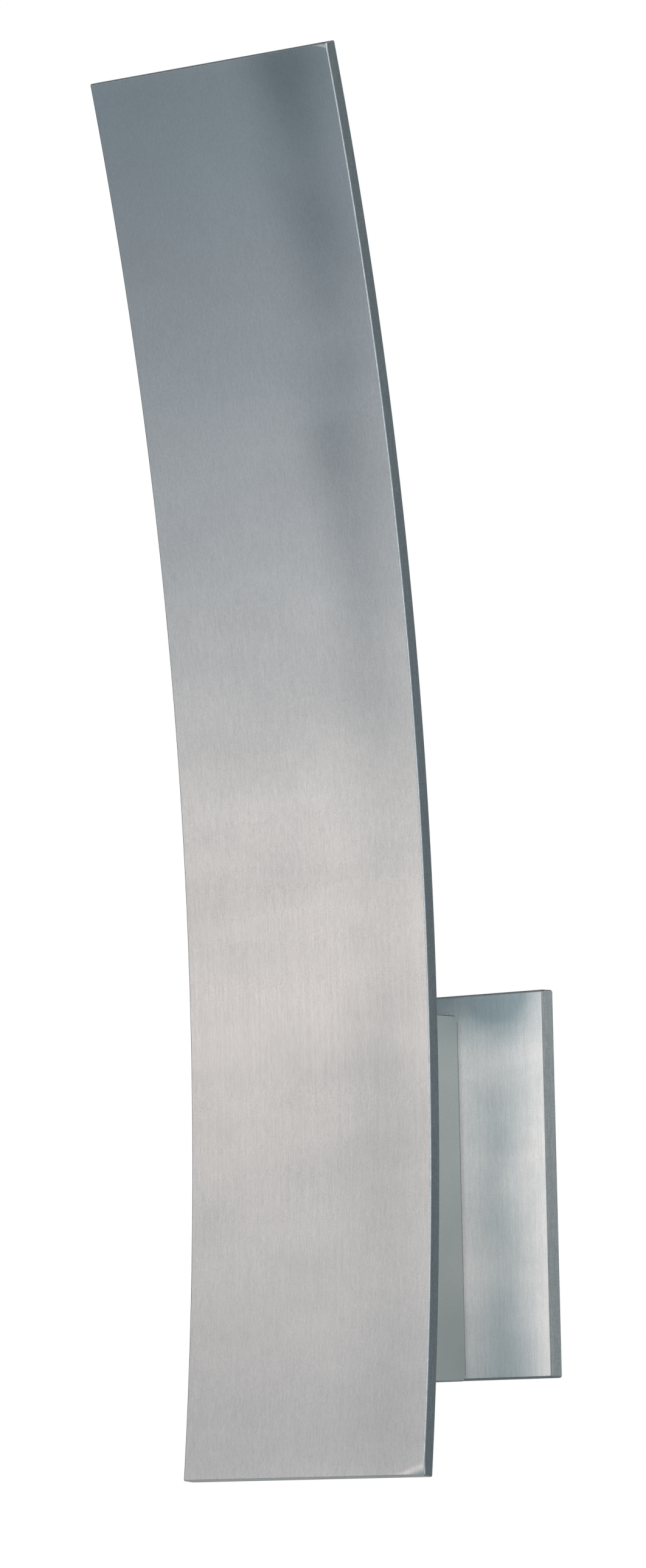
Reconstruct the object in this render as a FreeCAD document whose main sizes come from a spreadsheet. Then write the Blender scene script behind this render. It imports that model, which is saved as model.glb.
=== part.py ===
import FreeCAD, Part
import math
import os
from types import SimpleNamespace

import Sketcher
from FreeCAD import Rotation, Vector

# Outdoor wall sconce: a tall curved metal blade held off the wall by a narrow lamp housing,
# which throws light up and down behind it. The wall is the plane Y = 0 and the light stands
# out from it towards -Y. The origin is the middle of the back plate, on the wall.
# Depths are measured out from the wall, and all lengths are in millimetres.
driving_sizes = {
    # Back plate: a thick plate with a pocket behind it for the wall bracket
    "plate_width": 134.2,
    "plate_height": 168.7,
    "plate_thick": 7.4,
    "plate_web": 2.35,
    "plate_rim": 9.0,
    "plate_edge": 0.45,
    "pocket_corner": 4.0,
    # Foam seal in a groove round the back of the plate
    "seal_inset": 2.5,
    "seal_width": 4.0,
    "seal_depth": 1.2,
    "seal_play": 0.2,
    # Wall bracket over the electrical box
    "bracket_width": 30.0,
    "bracket_thick": 1.5,
    "bracket_play": 1.0,
    "ear_height": 4.6,
    "box_screw_spacing": 88.9,
    "slot_width": 5.0,
    "slot_length": 15.0,
    "bracket_hole_radius": 10.0,
    "ground_drop": 23.0,
    "ground_radius": 2.4,
    "ground_head_radius": 3.8,
    "ground_head_height": 1.5,
    "ground_slot_width": 1.1,
    "ground_slot_depth": 0.7,
    "collar_wall": 1.3,
    "collar_height": 1.3,
    # Grub screws through the rim that clamp the plate on the bracket's ears
    "grub_radius": 1.5,
    "grub_length": 7.0,
    "grub_depth": 3.1,
    "grub_spacing": 18.0,
    "grub_key_radius": 0.87,
    "grub_key_depth": 2.0,
    # Grommet for the supply wires
    "grommet_bore_radius": 4.0,
    "grommet_neck_radius": 7.0,
    "grommet_flange_radius": 9.5,
    "grommet_flange_thick": 1.2,
    # Lamp housing, its top and its foot measured from the middle of the plate
    "housing_width": 39.3,
    "housing_head": 75.5,
    "housing_foot": 84.6,
    "housing_wall": 2.6,
    "housing_front_wall": 4.0,
    "housing_end_wall": 8.0,
    "housing_corner": 2.2,
    "housing_edge": 0.35,
    "housing_seal_thick": 0.8,
    "housing_seal_inset": 0.4,
    "housing_seal_width": 1.4,
    # Countersunk screws from the plate's pocket into the housing's bosses
    "housing_screw_from_end": 27.0,
    "housing_screw_radius": 2.0,
    "housing_screw_head_radius": 3.9,
    "housing_screw_head_height": 2.0,
    "housing_screw_length": 14.0,
    "housing_screw_key_radius": 1.25,
    "housing_boss_radius": 4.0,
    "housing_boss_overlap": 0.55,
    "housing_boss_length": 13.0,
    # Blade: a plate bent to one radius, its middle of curvature on the room side
    "blade_width": 134.2,
    "blade_thick": 6.35,
    "blade_radius": 1650.0,
    "blade_standoff": 80.94,
    "blade_vertex": 63.1,
    "blade_head": 484.3,
    "blade_foot": 125.3,
    "blade_edge": 0.8,
    "blade_gap": 0.3,
    # Studs welded to the back of the blade, with a washer and a nut each
    "stud_radius": 2.5,
    "stud_side": 11.0,
    "stud_clearance": 3.05,
    "stud_pad_setback": 5.5,
    "stud_pad_radius": 6.0,
    "stud_end": 1.5,
    "weld_gap": 0.05,
    "washer_radius": 5.0,
    "washer_thick": 1.0,
    "nut_flat_radius": 4.0,
    "nut_height": 4.0,
    # Driver and the two posts that carry it
    "driver_width": 27.0,
    "driver_depth": 20.0,
    "driver_length": 76.0,
    "driver_front": 52.0,
    "driver_corner": 2.0,
    "driver_ear_width": 12.0,
    "driver_ear_thick": 2.0,
    "driver_ear_reach": 8.0,
    "post_radius": 3.5,
    # Light end, the same at the top and at the foot; depths count inwards from its face
    "end_centre": 44.5,
    "bezel_width": 33.6,
    "bezel_length": 64.0,
    "bezel_thick": 1.5,
    "bezel_corner": 3.0,
    "window_width": 26.0,
    "window_length": 42.0,
    "window_corner": 2.0,
    "lens_width": 30.0,
    "lens_length": 48.0,
    "lens_thick": 3.0,
    "lens_corner": 3.0,
    "lens_seal_thick": 1.0,
    "inset_play": 0.2,
    "end_screw_reach": 27.5,
    "bezel_screw_radius": 1.25,
    "bezel_screw_head_radius": 2.3,
    "bezel_screw_head_height": 1.1,
    "bezel_screw_length": 6.0,
    "bezel_screw_key_radius": 0.65,
    "pillar_length": 7.0,
    "mount_width": 33.0,
    "mount_length": 62.0,
    "mount_thick": 3.0,
    "mount_corner": 2.0,
    "board_width": 28.0,
    "board_length": 46.0,
    "board_thick": 1.6,
    "board_corner": 1.0,
    "board_screw_side": 11.0,
    "board_screw_reach": 19.5,
    "board_screw_length": 4.0,
    "chip_size": 3.0,
    "chip_thick": 0.7,
    "chip_pitch_across": 9.0,
    "chip_pitch_along": 8.0,
    "connector_width": 7.0,
    "connector_length": 9.0,
    "connector_reach": 2.0,
    "connector_window_play": 1.0,
    # Small pan head screws inside the housing
    "pan_radius": 1.5,
    "pan_head_radius": 2.8,
    "pan_head_height": 2.0,
    "pan_length": 8.0,
    "small_pan_radius": 1.0,
    "small_pan_head_radius": 1.9,
    "small_pan_head_height": 1.3,
    # Two-core cable from the driver to each light end
    "cable_radius": 1.1,
    "cable_outlet": 37.0,
    # Fits that many pieces share
    "thread_gap": 0.1,
    "screw_hole_gap": 0.3,
    "blind_end": 1.0,
    "overrun": 2.0,
}

along_x = Rotation(Vector(0, 1, 0), 90)
along_y = Rotation(Vector(1, 0, 0), -90)
against_y = Rotation(Vector(1, 0, 0), 90)
along_z = Rotation()
against_z = Rotation(Vector(1, 0, 0), 180)
sides = (-1, 1)
chip_columns = (-1, 0, 1)
chip_rows = (-1.5, -0.5, 0.5, 1.5)
same_place = 1e-6

document = FreeCAD.newDocument("wall_sconce")
nodes = []


class Size:
    """A length that holds its value and the expression that gives it from the sheet."""

    def __init__(self, text, value):
        self.text = text
        self.value = value

    def joined(self, sign, other, value):
        return Size(f"({self.text} {sign} {other.text})", value)

    def __add__(self, other):
        other = as_size(other)
        return self.joined("+", other, self.value + other.value)

    def __sub__(self, other):
        other = as_size(other)
        return self.joined("-", other, self.value - other.value)

    def __mul__(self, other):
        other = as_size(other)
        return self.joined("*", other, self.value * other.value)

    def __truediv__(self, other):
        other = as_size(other)
        return self.joined("/", other, self.value / other.value)

    def __neg__(self):
        return as_size(0) - self

    def __radd__(self, other):
        return as_size(other) + self

    def __rmul__(self, other):
        return as_size(other) * self


def as_size(item):
    return item if isinstance(item, Size) else Size(str(item), item)


def root(size):
    return Size(f"sqrt({size.text})", math.sqrt(size.value))


def make_sheet(values):
    """Puts the driving sizes into the document's sheet and returns them by name."""
    sheet = document.addObject("Spreadsheet::Sheet", "sizes")
    for row, (name, value) in enumerate(values.items(), start=1):
        sheet.set(f"A{row}", name)
        sheet.set(f"B{row}", str(value))
        sheet.setAlias(f"B{row}", name)
    document.recompute()
    return SimpleNamespace(**{name: Size(f"sizes.{name}", value) for name, value in values.items()})


def bind(item, path, size):
    item.setExpression(path, as_size(size).text)


def set_place(item, x, y, z, turn=along_z):
    item.Placement = FreeCAD.Placement(Vector(), turn)
    bind(item, "Placement.Base.x", x)
    bind(item, "Placement.Base.y", y)
    bind(item, "Placement.Base.z", z)
    return item


def box(name, width, depth, height, x, y, z):
    """A box given by its size along X, Y and Z and by its middle."""
    item = document.addObject("Part::Box", name)
    bind(item, "Length", width)
    bind(item, "Width", depth)
    bind(item, "Height", height)
    return set_place(item, as_size(x) - width / 2, as_size(y) - depth / 2, as_size(z) - height / 2)


def rod(name, radius, length, x, y, z, turn):
    item = document.addObject("Part::Cylinder", name)
    bind(item, "Radius", radius)
    bind(item, "Height", length)
    return set_place(item, x, y, z, turn)


def cone(name, start_radius, end_radius, length, x, y, z, turn):
    item = document.addObject("Part::Cone", name)
    bind(item, "Radius1", start_radius)
    bind(item, "Radius2", end_radius)
    bind(item, "Height", length)
    return set_place(item, x, y, z, turn)


def hexagon(name, flat_radius, length, x, y, z, turn):
    """A six-sided bar given by half its width across the flats."""
    item = document.addObject("Part::Prism", name)
    item.Polygon = 6
    bind(item, "Circumradius", flat_radius * 2 / root(as_size(3)))
    bind(item, "Height", length)
    return set_place(item, x, y, z, turn)


def fuse(name, shapes):
    item = document.addObject("Part::MultiFuse", name)
    item.Shapes = shapes
    return item


def cut(name, base, tools):
    tool = tools[0] if len(tools) == 1 else fuse(f"{name}_tools", tools)
    item = document.addObject("Part::Cut", name)
    item.Base = base
    item.Tool = tool
    return item


def group(name, shapes):
    item = document.addObject("Part::Compound", name)
    item.Links = shapes
    return item


def keep(item, label):
    """Makes an object one of the sub-parts that are written out."""
    item.Label = label
    nodes.append(item)
    return item


def sketch_on(body, role, across, up, lift):
    """A sketch on a plane of the body's own origin, moved along that plane and off it."""
    sketch = body.newObject("Sketcher::SketchObject", f"{body.Name}_sketch")
    plane = next(item for item in body.Origin.OriginFeatures if item.Role == role)
    sketch.AttachmentSupport = [(plane, "")]
    sketch.MapMode = "FlatFace"
    bind(sketch, "AttachmentOffset.Base.x", across)
    bind(sketch, "AttachmentOffset.Base.y", up)
    bind(sketch, "AttachmentOffset.Base.z", lift)
    return sketch


def hold(sketch, kind, where, size):
    """A dimension of the sketch, bound to the sheet."""
    name = f"held_{sketch.ConstraintCount}"
    index = sketch.addConstraint(Sketcher.Constraint(kind, *where, size.value))
    sketch.renameConstraint(index, name)
    sketch.setExpression(f"Constraints.{name}", size.text)


def tie(sketch, kind, *where):
    sketch.addConstraint(Sketcher.Constraint(kind, *where))


def draw_rectangle(sketch, width, height):
    """A rectangle about the sketch's origin."""
    right = width.value / 2
    top = height.value / 2
    corners = [Vector(-right, -top), Vector(right, -top), Vector(right, top), Vector(-right, top)]
    lines = []
    for start, end in zip(corners, corners[1:] + corners[:1]):
        lines.append(sketch.addGeometry(Part.LineSegment(start, end), False))
    for line, following in zip(lines, lines[1:] + lines[:1]):
        tie(sketch, "Coincident", line, 2, following, 1)
    for line in lines[0::2]:
        tie(sketch, "Horizontal", line)
    for line in lines[1::2]:
        tie(sketch, "Vertical", line)
    tie(sketch, "Symmetric", lines[0], 1, lines[2], 1, -1, 1)
    hold(sketch, "DistanceX", (lines[0], 1, lines[0], 2), width)
    hold(sketch, "DistanceY", (lines[1], 1, lines[1], 2), height)


def draw_rounded_rectangle(sketch, width, height, radius):
    """A rectangle with round corners about the sketch's origin."""
    right = width.value / 2
    top = height.value / 2
    bend = radius.value
    centres = [
        Vector(right - bend, bend - top),
        Vector(right - bend, top - bend),
        Vector(bend - right, top - bend),
        Vector(bend - right, bend - top),
    ]
    arcs = []
    for turn, centre in enumerate(centres):
        circle = Part.Circle(centre, Vector(0, 0, 1), bend)
        start = (turn - 1) * math.pi / 2
        arcs.append(sketch.addGeometry(Part.ArcOfCircle(circle, start, start + math.pi / 2), False))
    lines = []
    for arc, following in zip(arcs, arcs[1:] + arcs[:1]):
        start = sketch.getPoint(arc, 2)
        end = sketch.getPoint(following, 1)
        line = sketch.addGeometry(Part.LineSegment(start, end), False)
        tie(sketch, "Tangent", arc, 2, line, 1)
        tie(sketch, "Tangent", line, 2, following, 1)
        lines.append(line)
    for line in lines[0::2]:
        tie(sketch, "Vertical", line)
    for line in lines[1::2]:
        tie(sketch, "Horizontal", line)
    for arc in arcs[1:]:
        tie(sketch, "Equal", arcs[0], arc)
    tie(sketch, "Symmetric", arcs[0], 3, arcs[2], 3, -1, 1)
    hold(sketch, "Radius", (arcs[0],), radius)
    hold(sketch, "DistanceX", (arcs[2], 3, arcs[0], 3), width - radius * 2)
    hold(sketch, "DistanceY", (arcs[0], 3, arcs[2], 3), height - radius * 2)


def pad(body, sketch, length, both_ways=False):
    item = body.newObject("PartDesign::Pad", f"{body.Name}_pad")
    item.Profile = sketch
    if both_ways:
        item.SideType = "Symmetric"
    bind(item, "Length", length)
    sketch.Visibility = False
    return item


def pocket(body, sketch, length, both_ways=False, reverse=False):
    item = body.newObject("PartDesign::Pocket", f"{body.Name}_pocket")
    item.Profile = sketch
    if both_ways:
        item.SideType = "Symmetric"
    item.Reversed = reverse
    bind(item, "Length", length)
    sketch.Visibility = False
    return item


def chamfer_all(body, feature, size):
    document.recompute()
    item = body.newObject("PartDesign::Chamfer", f"{body.Name}_chamfer")
    item.Base = (feature, ["Edge1"])
    item.UseAllEdges = True
    bind(item, "Size", size)
    return item


def flat_ring(name, role, place, thick, outer, inner):
    """A flat piece with a round-cornered outline and, where given, one window."""
    body = document.addObject("PartDesign::Body", name)
    sketch = sketch_on(body, role, *place)
    draw_rounded_rectangle(sketch, *outer)
    if inner:
        draw_rounded_rectangle(sketch, *inner)
    pad(body, sketch, thick)
    return body


sizes = make_sheet(driving_sizes)

# Places that several pieces share
pocket_floor = sizes.plate_thick - sizes.plate_web
pocket_width = sizes.plate_width - sizes.plate_rim * 2
pocket_height = sizes.plate_height - sizes.plate_rim * 2
ear_span = pocket_height - sizes.bracket_play * 2
housing_back = sizes.plate_thick + sizes.housing_seal_thick
housing_inside = sizes.housing_width - sizes.housing_wall * 2
housing_middle = (sizes.housing_head - sizes.housing_foot) / 2
housing_screw_side = housing_inside / 2 - sizes.housing_boss_radius + sizes.housing_boss_overlap
blade_back_radius = sizes.blade_radius + sizes.blade_thick
bend_centre = -sizes.blade_standoff - blade_back_radius
housing_front_radius = blade_back_radius + sizes.blade_gap
stud_pad = -sizes.blade_standoff + sizes.stud_pad_setback
board_depth = sizes.housing_end_wall + sizes.pillar_length
post_spacing = sizes.driver_length + sizes.driver_ear_reach
screw_levels = (
    sizes.housing_head - sizes.housing_screw_from_end,
    -sizes.housing_foot + sizes.housing_screw_from_end,
)


def arc_depth(radius, height):
    """The Y of a curve about the blade's own centre, at a height above the plate's middle."""
    rise = height - sizes.blade_vertex
    return bend_centre + root(radius * radius - rise * rise)


def wall_bracket():
    """Crossbar with an ear bent forward at each end, two box slots and a wire hole."""
    width = sizes.bracket_width
    thick = sizes.bracket_thick
    blank = [box("bracket_bar", width, thick, ear_span, 0, -thick / 2, 0)]
    for side in sides:
        ear_level = side * (ear_span - thick) / 2
        blank.append(box("bracket_ear", width, sizes.ear_height, thick, 0, -sizes.ear_height / 2, ear_level))
    collar_radius = sizes.ground_radius + sizes.collar_wall
    collar_length = thick + sizes.collar_height
    drop = -sizes.ground_drop
    blank.append(rod("bracket_collar", collar_radius, collar_length, 0, 0, drop, against_y))
    through = thick + sizes.collar_height + sizes.overrun * 2
    start = -thick - sizes.collar_height - sizes.overrun
    tools = [rod("bracket_hole", sizes.bracket_hole_radius, through, 0, start, 0, along_y)]
    ground_hole = sizes.ground_radius + sizes.thread_gap
    tools.append(rod("ground_hole", ground_hole, through, 0, start, drop, along_y))
    straight = sizes.slot_length - sizes.slot_width
    for side in sides:
        level = side * sizes.box_screw_spacing / 2
        middle = start + through / 2
        tools.append(box("slot_middle", sizes.slot_width, through, straight, 0, middle, level))
        for end in sides:
            end_level = level + end * straight / 2
            tools.append(rod("slot_end", sizes.slot_width / 2, through, 0, start, end_level, along_y))
    keep(cut("bracket", fuse("bracket_blank", blank), tools), "wall_bracket")


def ground_screw():
    """Slotted screw for the earth wire, in the bracket's collar."""
    drop = -sizes.ground_drop
    seat = sizes.bracket_thick + sizes.collar_height
    shank = rod("ground_shank", sizes.ground_radius, seat, 0, 0, drop, against_y)
    head = rod("ground_head", sizes.ground_head_radius, sizes.ground_head_height, 0, -seat, drop, against_y)
    crown = seat + sizes.ground_head_height
    slot_depth = sizes.ground_slot_depth * 2
    slot_long = sizes.ground_head_radius * 2 + sizes.overrun
    slot = box("ground_slot", slot_long, slot_depth, sizes.ground_slot_width, 0, -crown, drop)
    keep(cut("ground", fuse("ground_blank", [shank, head]), [slot]), "ground_screw")


def back_plate():
    """Plate with the bracket's pocket, the seal's groove and the holes for wires and screws."""
    body = document.addObject("PartDesign::Body", "plate_body")
    outline = sketch_on(body, "XZ_Plane", 0, 0, 0)
    draw_rectangle(outline, sizes.plate_width, sizes.plate_height)
    blank = chamfer_all(body, pad(body, outline, sizes.plate_thick), sizes.plate_edge)
    document.recompute()
    before = blank.Shape.Volume
    hollow = sketch_on(body, "XZ_Plane", 0, 0, 0)
    draw_rounded_rectangle(hollow, pocket_width, pocket_height, sizes.pocket_corner)
    pocket(body, hollow, pocket_floor, reverse=True)
    groove = sketch_on(body, "XZ_Plane", 0, 0, 0)
    for inset in (sizes.seal_inset, sizes.seal_inset + sizes.seal_width):
        draw_rectangle(groove, sizes.plate_width - inset * 2, sizes.plate_height - inset * 2)
    last = pocket(body, groove, sizes.seal_depth, reverse=True)
    document.recompute()
    print("plate pockets remove", round(before - last.Shape.Volume), "mm3")
    tools = []
    neck = sizes.grommet_neck_radius + sizes.thread_gap
    web_cut = sizes.plate_web + sizes.overrun * 2
    web_start = -sizes.plate_thick - sizes.overrun
    tools.append(rod("wire_hole", neck, web_cut, 0, web_start, 0, along_y))
    shank = sizes.housing_screw_radius + sizes.screw_hole_gap
    head = sizes.housing_screw_head_radius + sizes.thread_gap
    head_height = sizes.housing_screw_head_height + sizes.thread_gap
    for side in sides:
        for level in screw_levels:
            across = side * housing_screw_side
            tools.append(rod("screw_hole", shank, web_cut, across, web_start, level, along_y))
            tools.append(cone("screw_sink", head, shank, head_height,
                              across, -pocket_floor, level, against_y))
    grub_hole = sizes.grub_radius + sizes.thread_gap
    through = sizes.plate_height + sizes.overrun * 2
    for side in sides:
        across = side * sizes.grub_spacing / 2
        tools.append(rod("grub_hole", grub_hole, through, across, -sizes.grub_depth, -through / 2, along_z))
    keep(cut("plate", body, tools), "back_plate")


def wall_seal():
    """Foam ring pressed into the groove, level with the wall."""
    body = document.addObject("PartDesign::Body", "wall_seal_body")
    sketch = sketch_on(body, "XZ_Plane", 0, 0, 0)
    outer = sizes.seal_inset + sizes.seal_play
    inner = sizes.seal_inset + sizes.seal_width - sizes.seal_play
    for inset in (outer, inner):
        draw_rectangle(sketch, sizes.plate_width - inset * 2, sizes.plate_height - inset * 2)
    pad(body, sketch, sizes.seal_depth)
    keep(body, "wall_seal")


def plate_grub_screws():
    """Socket grub screws from the top and bottom edges on to the bracket's ears."""
    screws = []
    for side in sides:
        across = side * sizes.grub_spacing / 2
        for end, inwards in ((1, against_z), (-1, along_z)):
            outer = end * (ear_span / 2 + sizes.grub_length)
            screw = rod("grub", sizes.grub_radius, sizes.grub_length,
                        across, -sizes.grub_depth, outer, inwards)
            key = hexagon("grub_key", sizes.grub_key_radius, sizes.grub_key_depth,
                          across, -sizes.grub_depth, outer, inwards)
            screws.append(cut("grub_screw", screw, [key]))
    keep(group("grub_screws", screws), "plate_grub_screws")


def wire_grommet():
    """Rubber bush in the plate's wire hole, with a lip on each side."""
    lip = sizes.grommet_flange_thick
    whole = sizes.plate_web + lip * 2
    start = -sizes.plate_thick - lip
    neck = rod("grommet_neck", sizes.grommet_neck_radius, whole, 0, start, 0, along_y)
    front = rod("grommet_front_lip", sizes.grommet_flange_radius, lip, 0, start, 0, along_y)
    rear = rod("grommet_rear_lip", sizes.grommet_flange_radius, lip, 0, -pocket_floor, 0, along_y)
    bore_length = whole + sizes.overrun * 2
    bore = rod("grommet_bore", sizes.grommet_bore_radius, bore_length, 0, start - sizes.overrun, 0, along_y)
    keep(cut("grommet", fuse("grommet_blank", [neck, front, rear]), [bore]), "wire_grommet")


def draw_housing_profile(sketch, back, head, foot, front_radius, corner):
    """Side outline: flat back, level ends and a front that follows the blade's curve."""
    head_front = arc_depth(front_radius, head)
    foot_front = arc_depth(front_radius, foot)
    bend = corner.value if corner else 0
    centre = Vector(bend_centre.value, sizes.blade_vertex.value, 0)
    start = math.atan2(foot.value - centre.y, foot_front.value - centre.x)
    end = math.atan2(head.value - centre.y, head_front.value - centre.x)
    curve = Part.Circle(centre, Vector(0, 0, 1), front_radius.value)
    front = sketch.addGeometry(Part.ArcOfCircle(curve, start, end), False)
    top_front = Vector(head_front.value, head.value)
    foot_front_point = Vector(foot_front.value, foot.value)
    top = sketch.addGeometry(Part.LineSegment(top_front, Vector(back.value - bend, head.value)), False)
    rear = sketch.addGeometry(
        Part.LineSegment(Vector(back.value, head.value - bend), Vector(back.value, foot.value + bend)), False)
    base = sketch.addGeometry(
        Part.LineSegment(Vector(back.value - bend, foot.value), foot_front_point), False)
    tie(sketch, "Coincident", front, 2, top, 1)
    tie(sketch, "Coincident", base, 2, front, 1)
    if corner:
        turns = ((top, rear, head.value - bend, 0), (rear, base, foot.value + bend, -1))
        for before, after, level, first in turns:
            circle = Part.Circle(Vector(back.value - bend, level, 0), Vector(0, 0, 1), bend)
            arc = sketch.addGeometry(
                Part.ArcOfCircle(circle, first * math.pi / 2, (first + 1) * math.pi / 2), False)
            tie(sketch, "Tangent", before, 2, arc, 2)
            tie(sketch, "Tangent", arc, 1, after, 1)
            hold(sketch, "Radius", (arc,), corner)
    else:
        tie(sketch, "Coincident", top, 2, rear, 1)
        tie(sketch, "Coincident", rear, 2, base, 1)
    tie(sketch, "Horizontal", top)
    tie(sketch, "Vertical", rear)
    tie(sketch, "Horizontal", base)
    hold(sketch, "Radius", (front,), front_radius)
    hold(sketch, "DistanceX", (-1, 1, front, 3), bend_centre)
    hold(sketch, "DistanceY", (-1, 1, front, 3), sizes.blade_vertex)
    hold(sketch, "DistanceX", (-1, 1, rear, 1), back)
    hold(sketch, "DistanceY", (-1, 1, top, 1), head)
    hold(sketch, "DistanceY", (-1, 1, base, 1), foot)


def side_edges(feature, half_width):
    """Names of the edges that bound the feature's two side faces."""
    names = []
    for number, edge in enumerate(feature.Shape.Edges, start=1):
        if all(abs(abs(vertex.X) - half_width) < same_place for vertex in edge.Vertexes):
            middle = edge.valueAt((edge.FirstParameter + edge.LastParameter) / 2)
            if abs(abs(middle.x) - half_width) < same_place:
                names.append(f"Edge{number}")
    return names


def housing_shell():
    """The housing's block with its cavity, open at the back."""
    body = document.addObject("PartDesign::Body", "housing_body")
    outline = sketch_on(body, "YZ_Plane", 0, 0, 0)
    head = sizes.housing_head
    foot = -sizes.housing_foot
    draw_housing_profile(outline, -housing_back, head, foot, housing_front_radius, sizes.housing_corner)
    block = pad(body, outline, sizes.housing_width, both_ways=True)
    document.recompute()
    chamfer = body.newObject("PartDesign::Chamfer", "housing_chamfer")
    chamfer.Base = (block, side_edges(block, sizes.housing_width.value / 2))
    bind(chamfer, "Size", sizes.housing_edge)
    cavity = sketch_on(body, "YZ_Plane", 0, 0, 0)
    inner_front = housing_front_radius + sizes.housing_front_wall
    behind = -housing_back + sizes.overrun
    inner_head = head - sizes.housing_end_wall
    inner_foot = foot + sizes.housing_end_wall
    draw_housing_profile(cavity, behind, inner_head, inner_foot, inner_front, None)
    pocket(body, cavity, housing_inside, both_ways=True)
    return body


def stud_places():
    """Across and up, with each washer clear of the screw heads of the nearer light end."""
    screw_heads = board_depth + sizes.mount_thick + sizes.pan_head_height
    for side in sides:
        for end in light_ends():
            level = end_level(end, screw_heads + sizes.stud_clearance + sizes.washer_radius)
            yield side * sizes.stud_side, level


def post_levels():
    return [housing_middle + end * post_spacing / 2 for end in sides]


def light_ends():
    """The two light ends, each with the way that points inwards from its face."""
    head = SimpleNamespace(name="up", face=sizes.housing_head, inwards=-1, turn=against_z)
    foot = SimpleNamespace(name="down", face=-sizes.housing_foot, inwards=1, turn=along_z)
    return (head, foot)


def end_level(end, depth):
    return end.face + end.inwards * as_size(depth)


def end_lift(end, near, far):
    """The lower of two depths of a light end, where a flat piece between them starts."""
    return end_level(end, far if end.inwards < 0 else near)


def end_screw_depths():
    """The Y of the two screws of a light end."""
    return [-sizes.end_centre + side * sizes.end_screw_reach for side in sides]


def front_into_wall(level):
    """The Y half way through the front wall at a height."""
    return arc_depth(housing_front_radius, level) + sizes.housing_front_wall / 2


def housing_bosses():
    """Posts, pads and pillars that stand on the housing's walls, and the holes in them."""
    solids = []
    holes = []
    tap = sizes.housing_screw_radius + sizes.thread_gap
    for side in sides:
        for level in screw_levels:
            across = side * housing_screw_side
            start = -sizes.plate_thick
            solids.append(rod("plate_boss", sizes.housing_boss_radius, sizes.housing_boss_length,
                              across, start, level, against_y))
            deep = sizes.housing_boss_length - sizes.blind_end + sizes.overrun
            holes.append(rod("plate_tap", tap, deep, across, start + sizes.overrun, level, against_y))
    stud_hole = sizes.stud_radius + sizes.screw_hole_gap
    for across, level in stud_places():
        rear = front_into_wall(level)
        solids.append(rod("stud_pad", sizes.stud_pad_radius, stud_pad - rear, across, rear, level, along_y))
        reach = sizes.housing_front_wall + sizes.stud_pad_setback + sizes.overrun
        outside = rear - reach
        holes.append(rod("stud_hole", stud_hole, stud_pad + sizes.overrun - outside,
                         across, outside, level, along_y))
    tap = sizes.pan_radius + sizes.thread_gap
    for level in post_levels():
        rear = front_into_wall(level)
        seat = -sizes.driver_front
        solids.append(rod("driver_post", sizes.post_radius, seat - rear, 0, rear, level, along_y))
        deep = sizes.pan_length + sizes.blind_end + sizes.overrun
        holes.append(rod("driver_tap", tap, deep, 0, seat + sizes.overrun, level, against_y))
    for end in light_ends():
        for depth in end_screw_depths():
            inner = end_level(end, board_depth)
            outer = sizes.pillar_length + sizes.housing_end_wall / 2
            outwards = along_z if end.inwards < 0 else against_z
            solids.append(rod("mount_pillar", sizes.post_radius, outer, 0, depth, inner, outwards))
            deep = sizes.pan_length - sizes.mount_thick + sizes.blind_end + sizes.overrun
            below = end_level(end, board_depth + sizes.overrun)
            holes.append(rod("mount_tap", tap, deep, 0, depth, below, outwards))
    return solids, holes


def end_openings():
    """Stepped openings of the light ends: bezel, lens and window, with the bezel's screw holes."""
    tools = []
    play = sizes.inset_play * 2
    lens_pocket = sizes.bezel_thick + sizes.lens_thick + sizes.lens_seal_thick
    window_depth = sizes.housing_end_wall + sizes.overrun
    steps = (
        (sizes.bezel_width + play, sizes.bezel_length + play, sizes.bezel_corner, sizes.bezel_thick),
        (sizes.lens_width + play, sizes.lens_length + play, sizes.lens_corner, lens_pocket),
        (sizes.window_width, sizes.window_length, sizes.window_corner, window_depth),
    )
    for end in light_ends():
        for width, length, corner, depth in steps:
            place = (0, -sizes.end_centre, end_lift(end, -sizes.overrun, depth))
            outline = (width, length, corner)
            tools.append(flat_ring("end_opening", "XY_Plane", place, depth + sizes.overrun, outline, None))
        tap = sizes.bezel_screw_radius + sizes.thread_gap
        for depth in end_screw_depths():
            tools.append(rod("bezel_tap", tap, sizes.bezel_screw_length + sizes.thread_gap,
                             0, depth, end.face, end.turn))
    return tools


def lamp_housing():
    solids, holes = housing_bosses()
    blank = fuse("housing_blank", [housing_shell()] + solids)
    keep(cut("housing", blank, holes + end_openings()), "lamp_housing")


def housing_seal():
    """Thin seal between the housing's rim and the plate."""
    inset = sizes.housing_corner + sizes.housing_seal_inset
    width = sizes.housing_width - sizes.housing_seal_inset * 2
    height = sizes.housing_head + sizes.housing_foot - inset * 2
    inner_width = width - sizes.housing_seal_width * 2
    inner_height = height - sizes.housing_seal_width * 2
    body = document.addObject("PartDesign::Body", "housing_seal_body")
    sketch = sketch_on(body, "XZ_Plane", 0, housing_middle, sizes.plate_thick)
    draw_rectangle(sketch, width, height)
    draw_rectangle(sketch, inner_width, inner_height)
    pad(body, sketch, sizes.housing_seal_thick)
    keep(body, "housing_seal")


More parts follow.
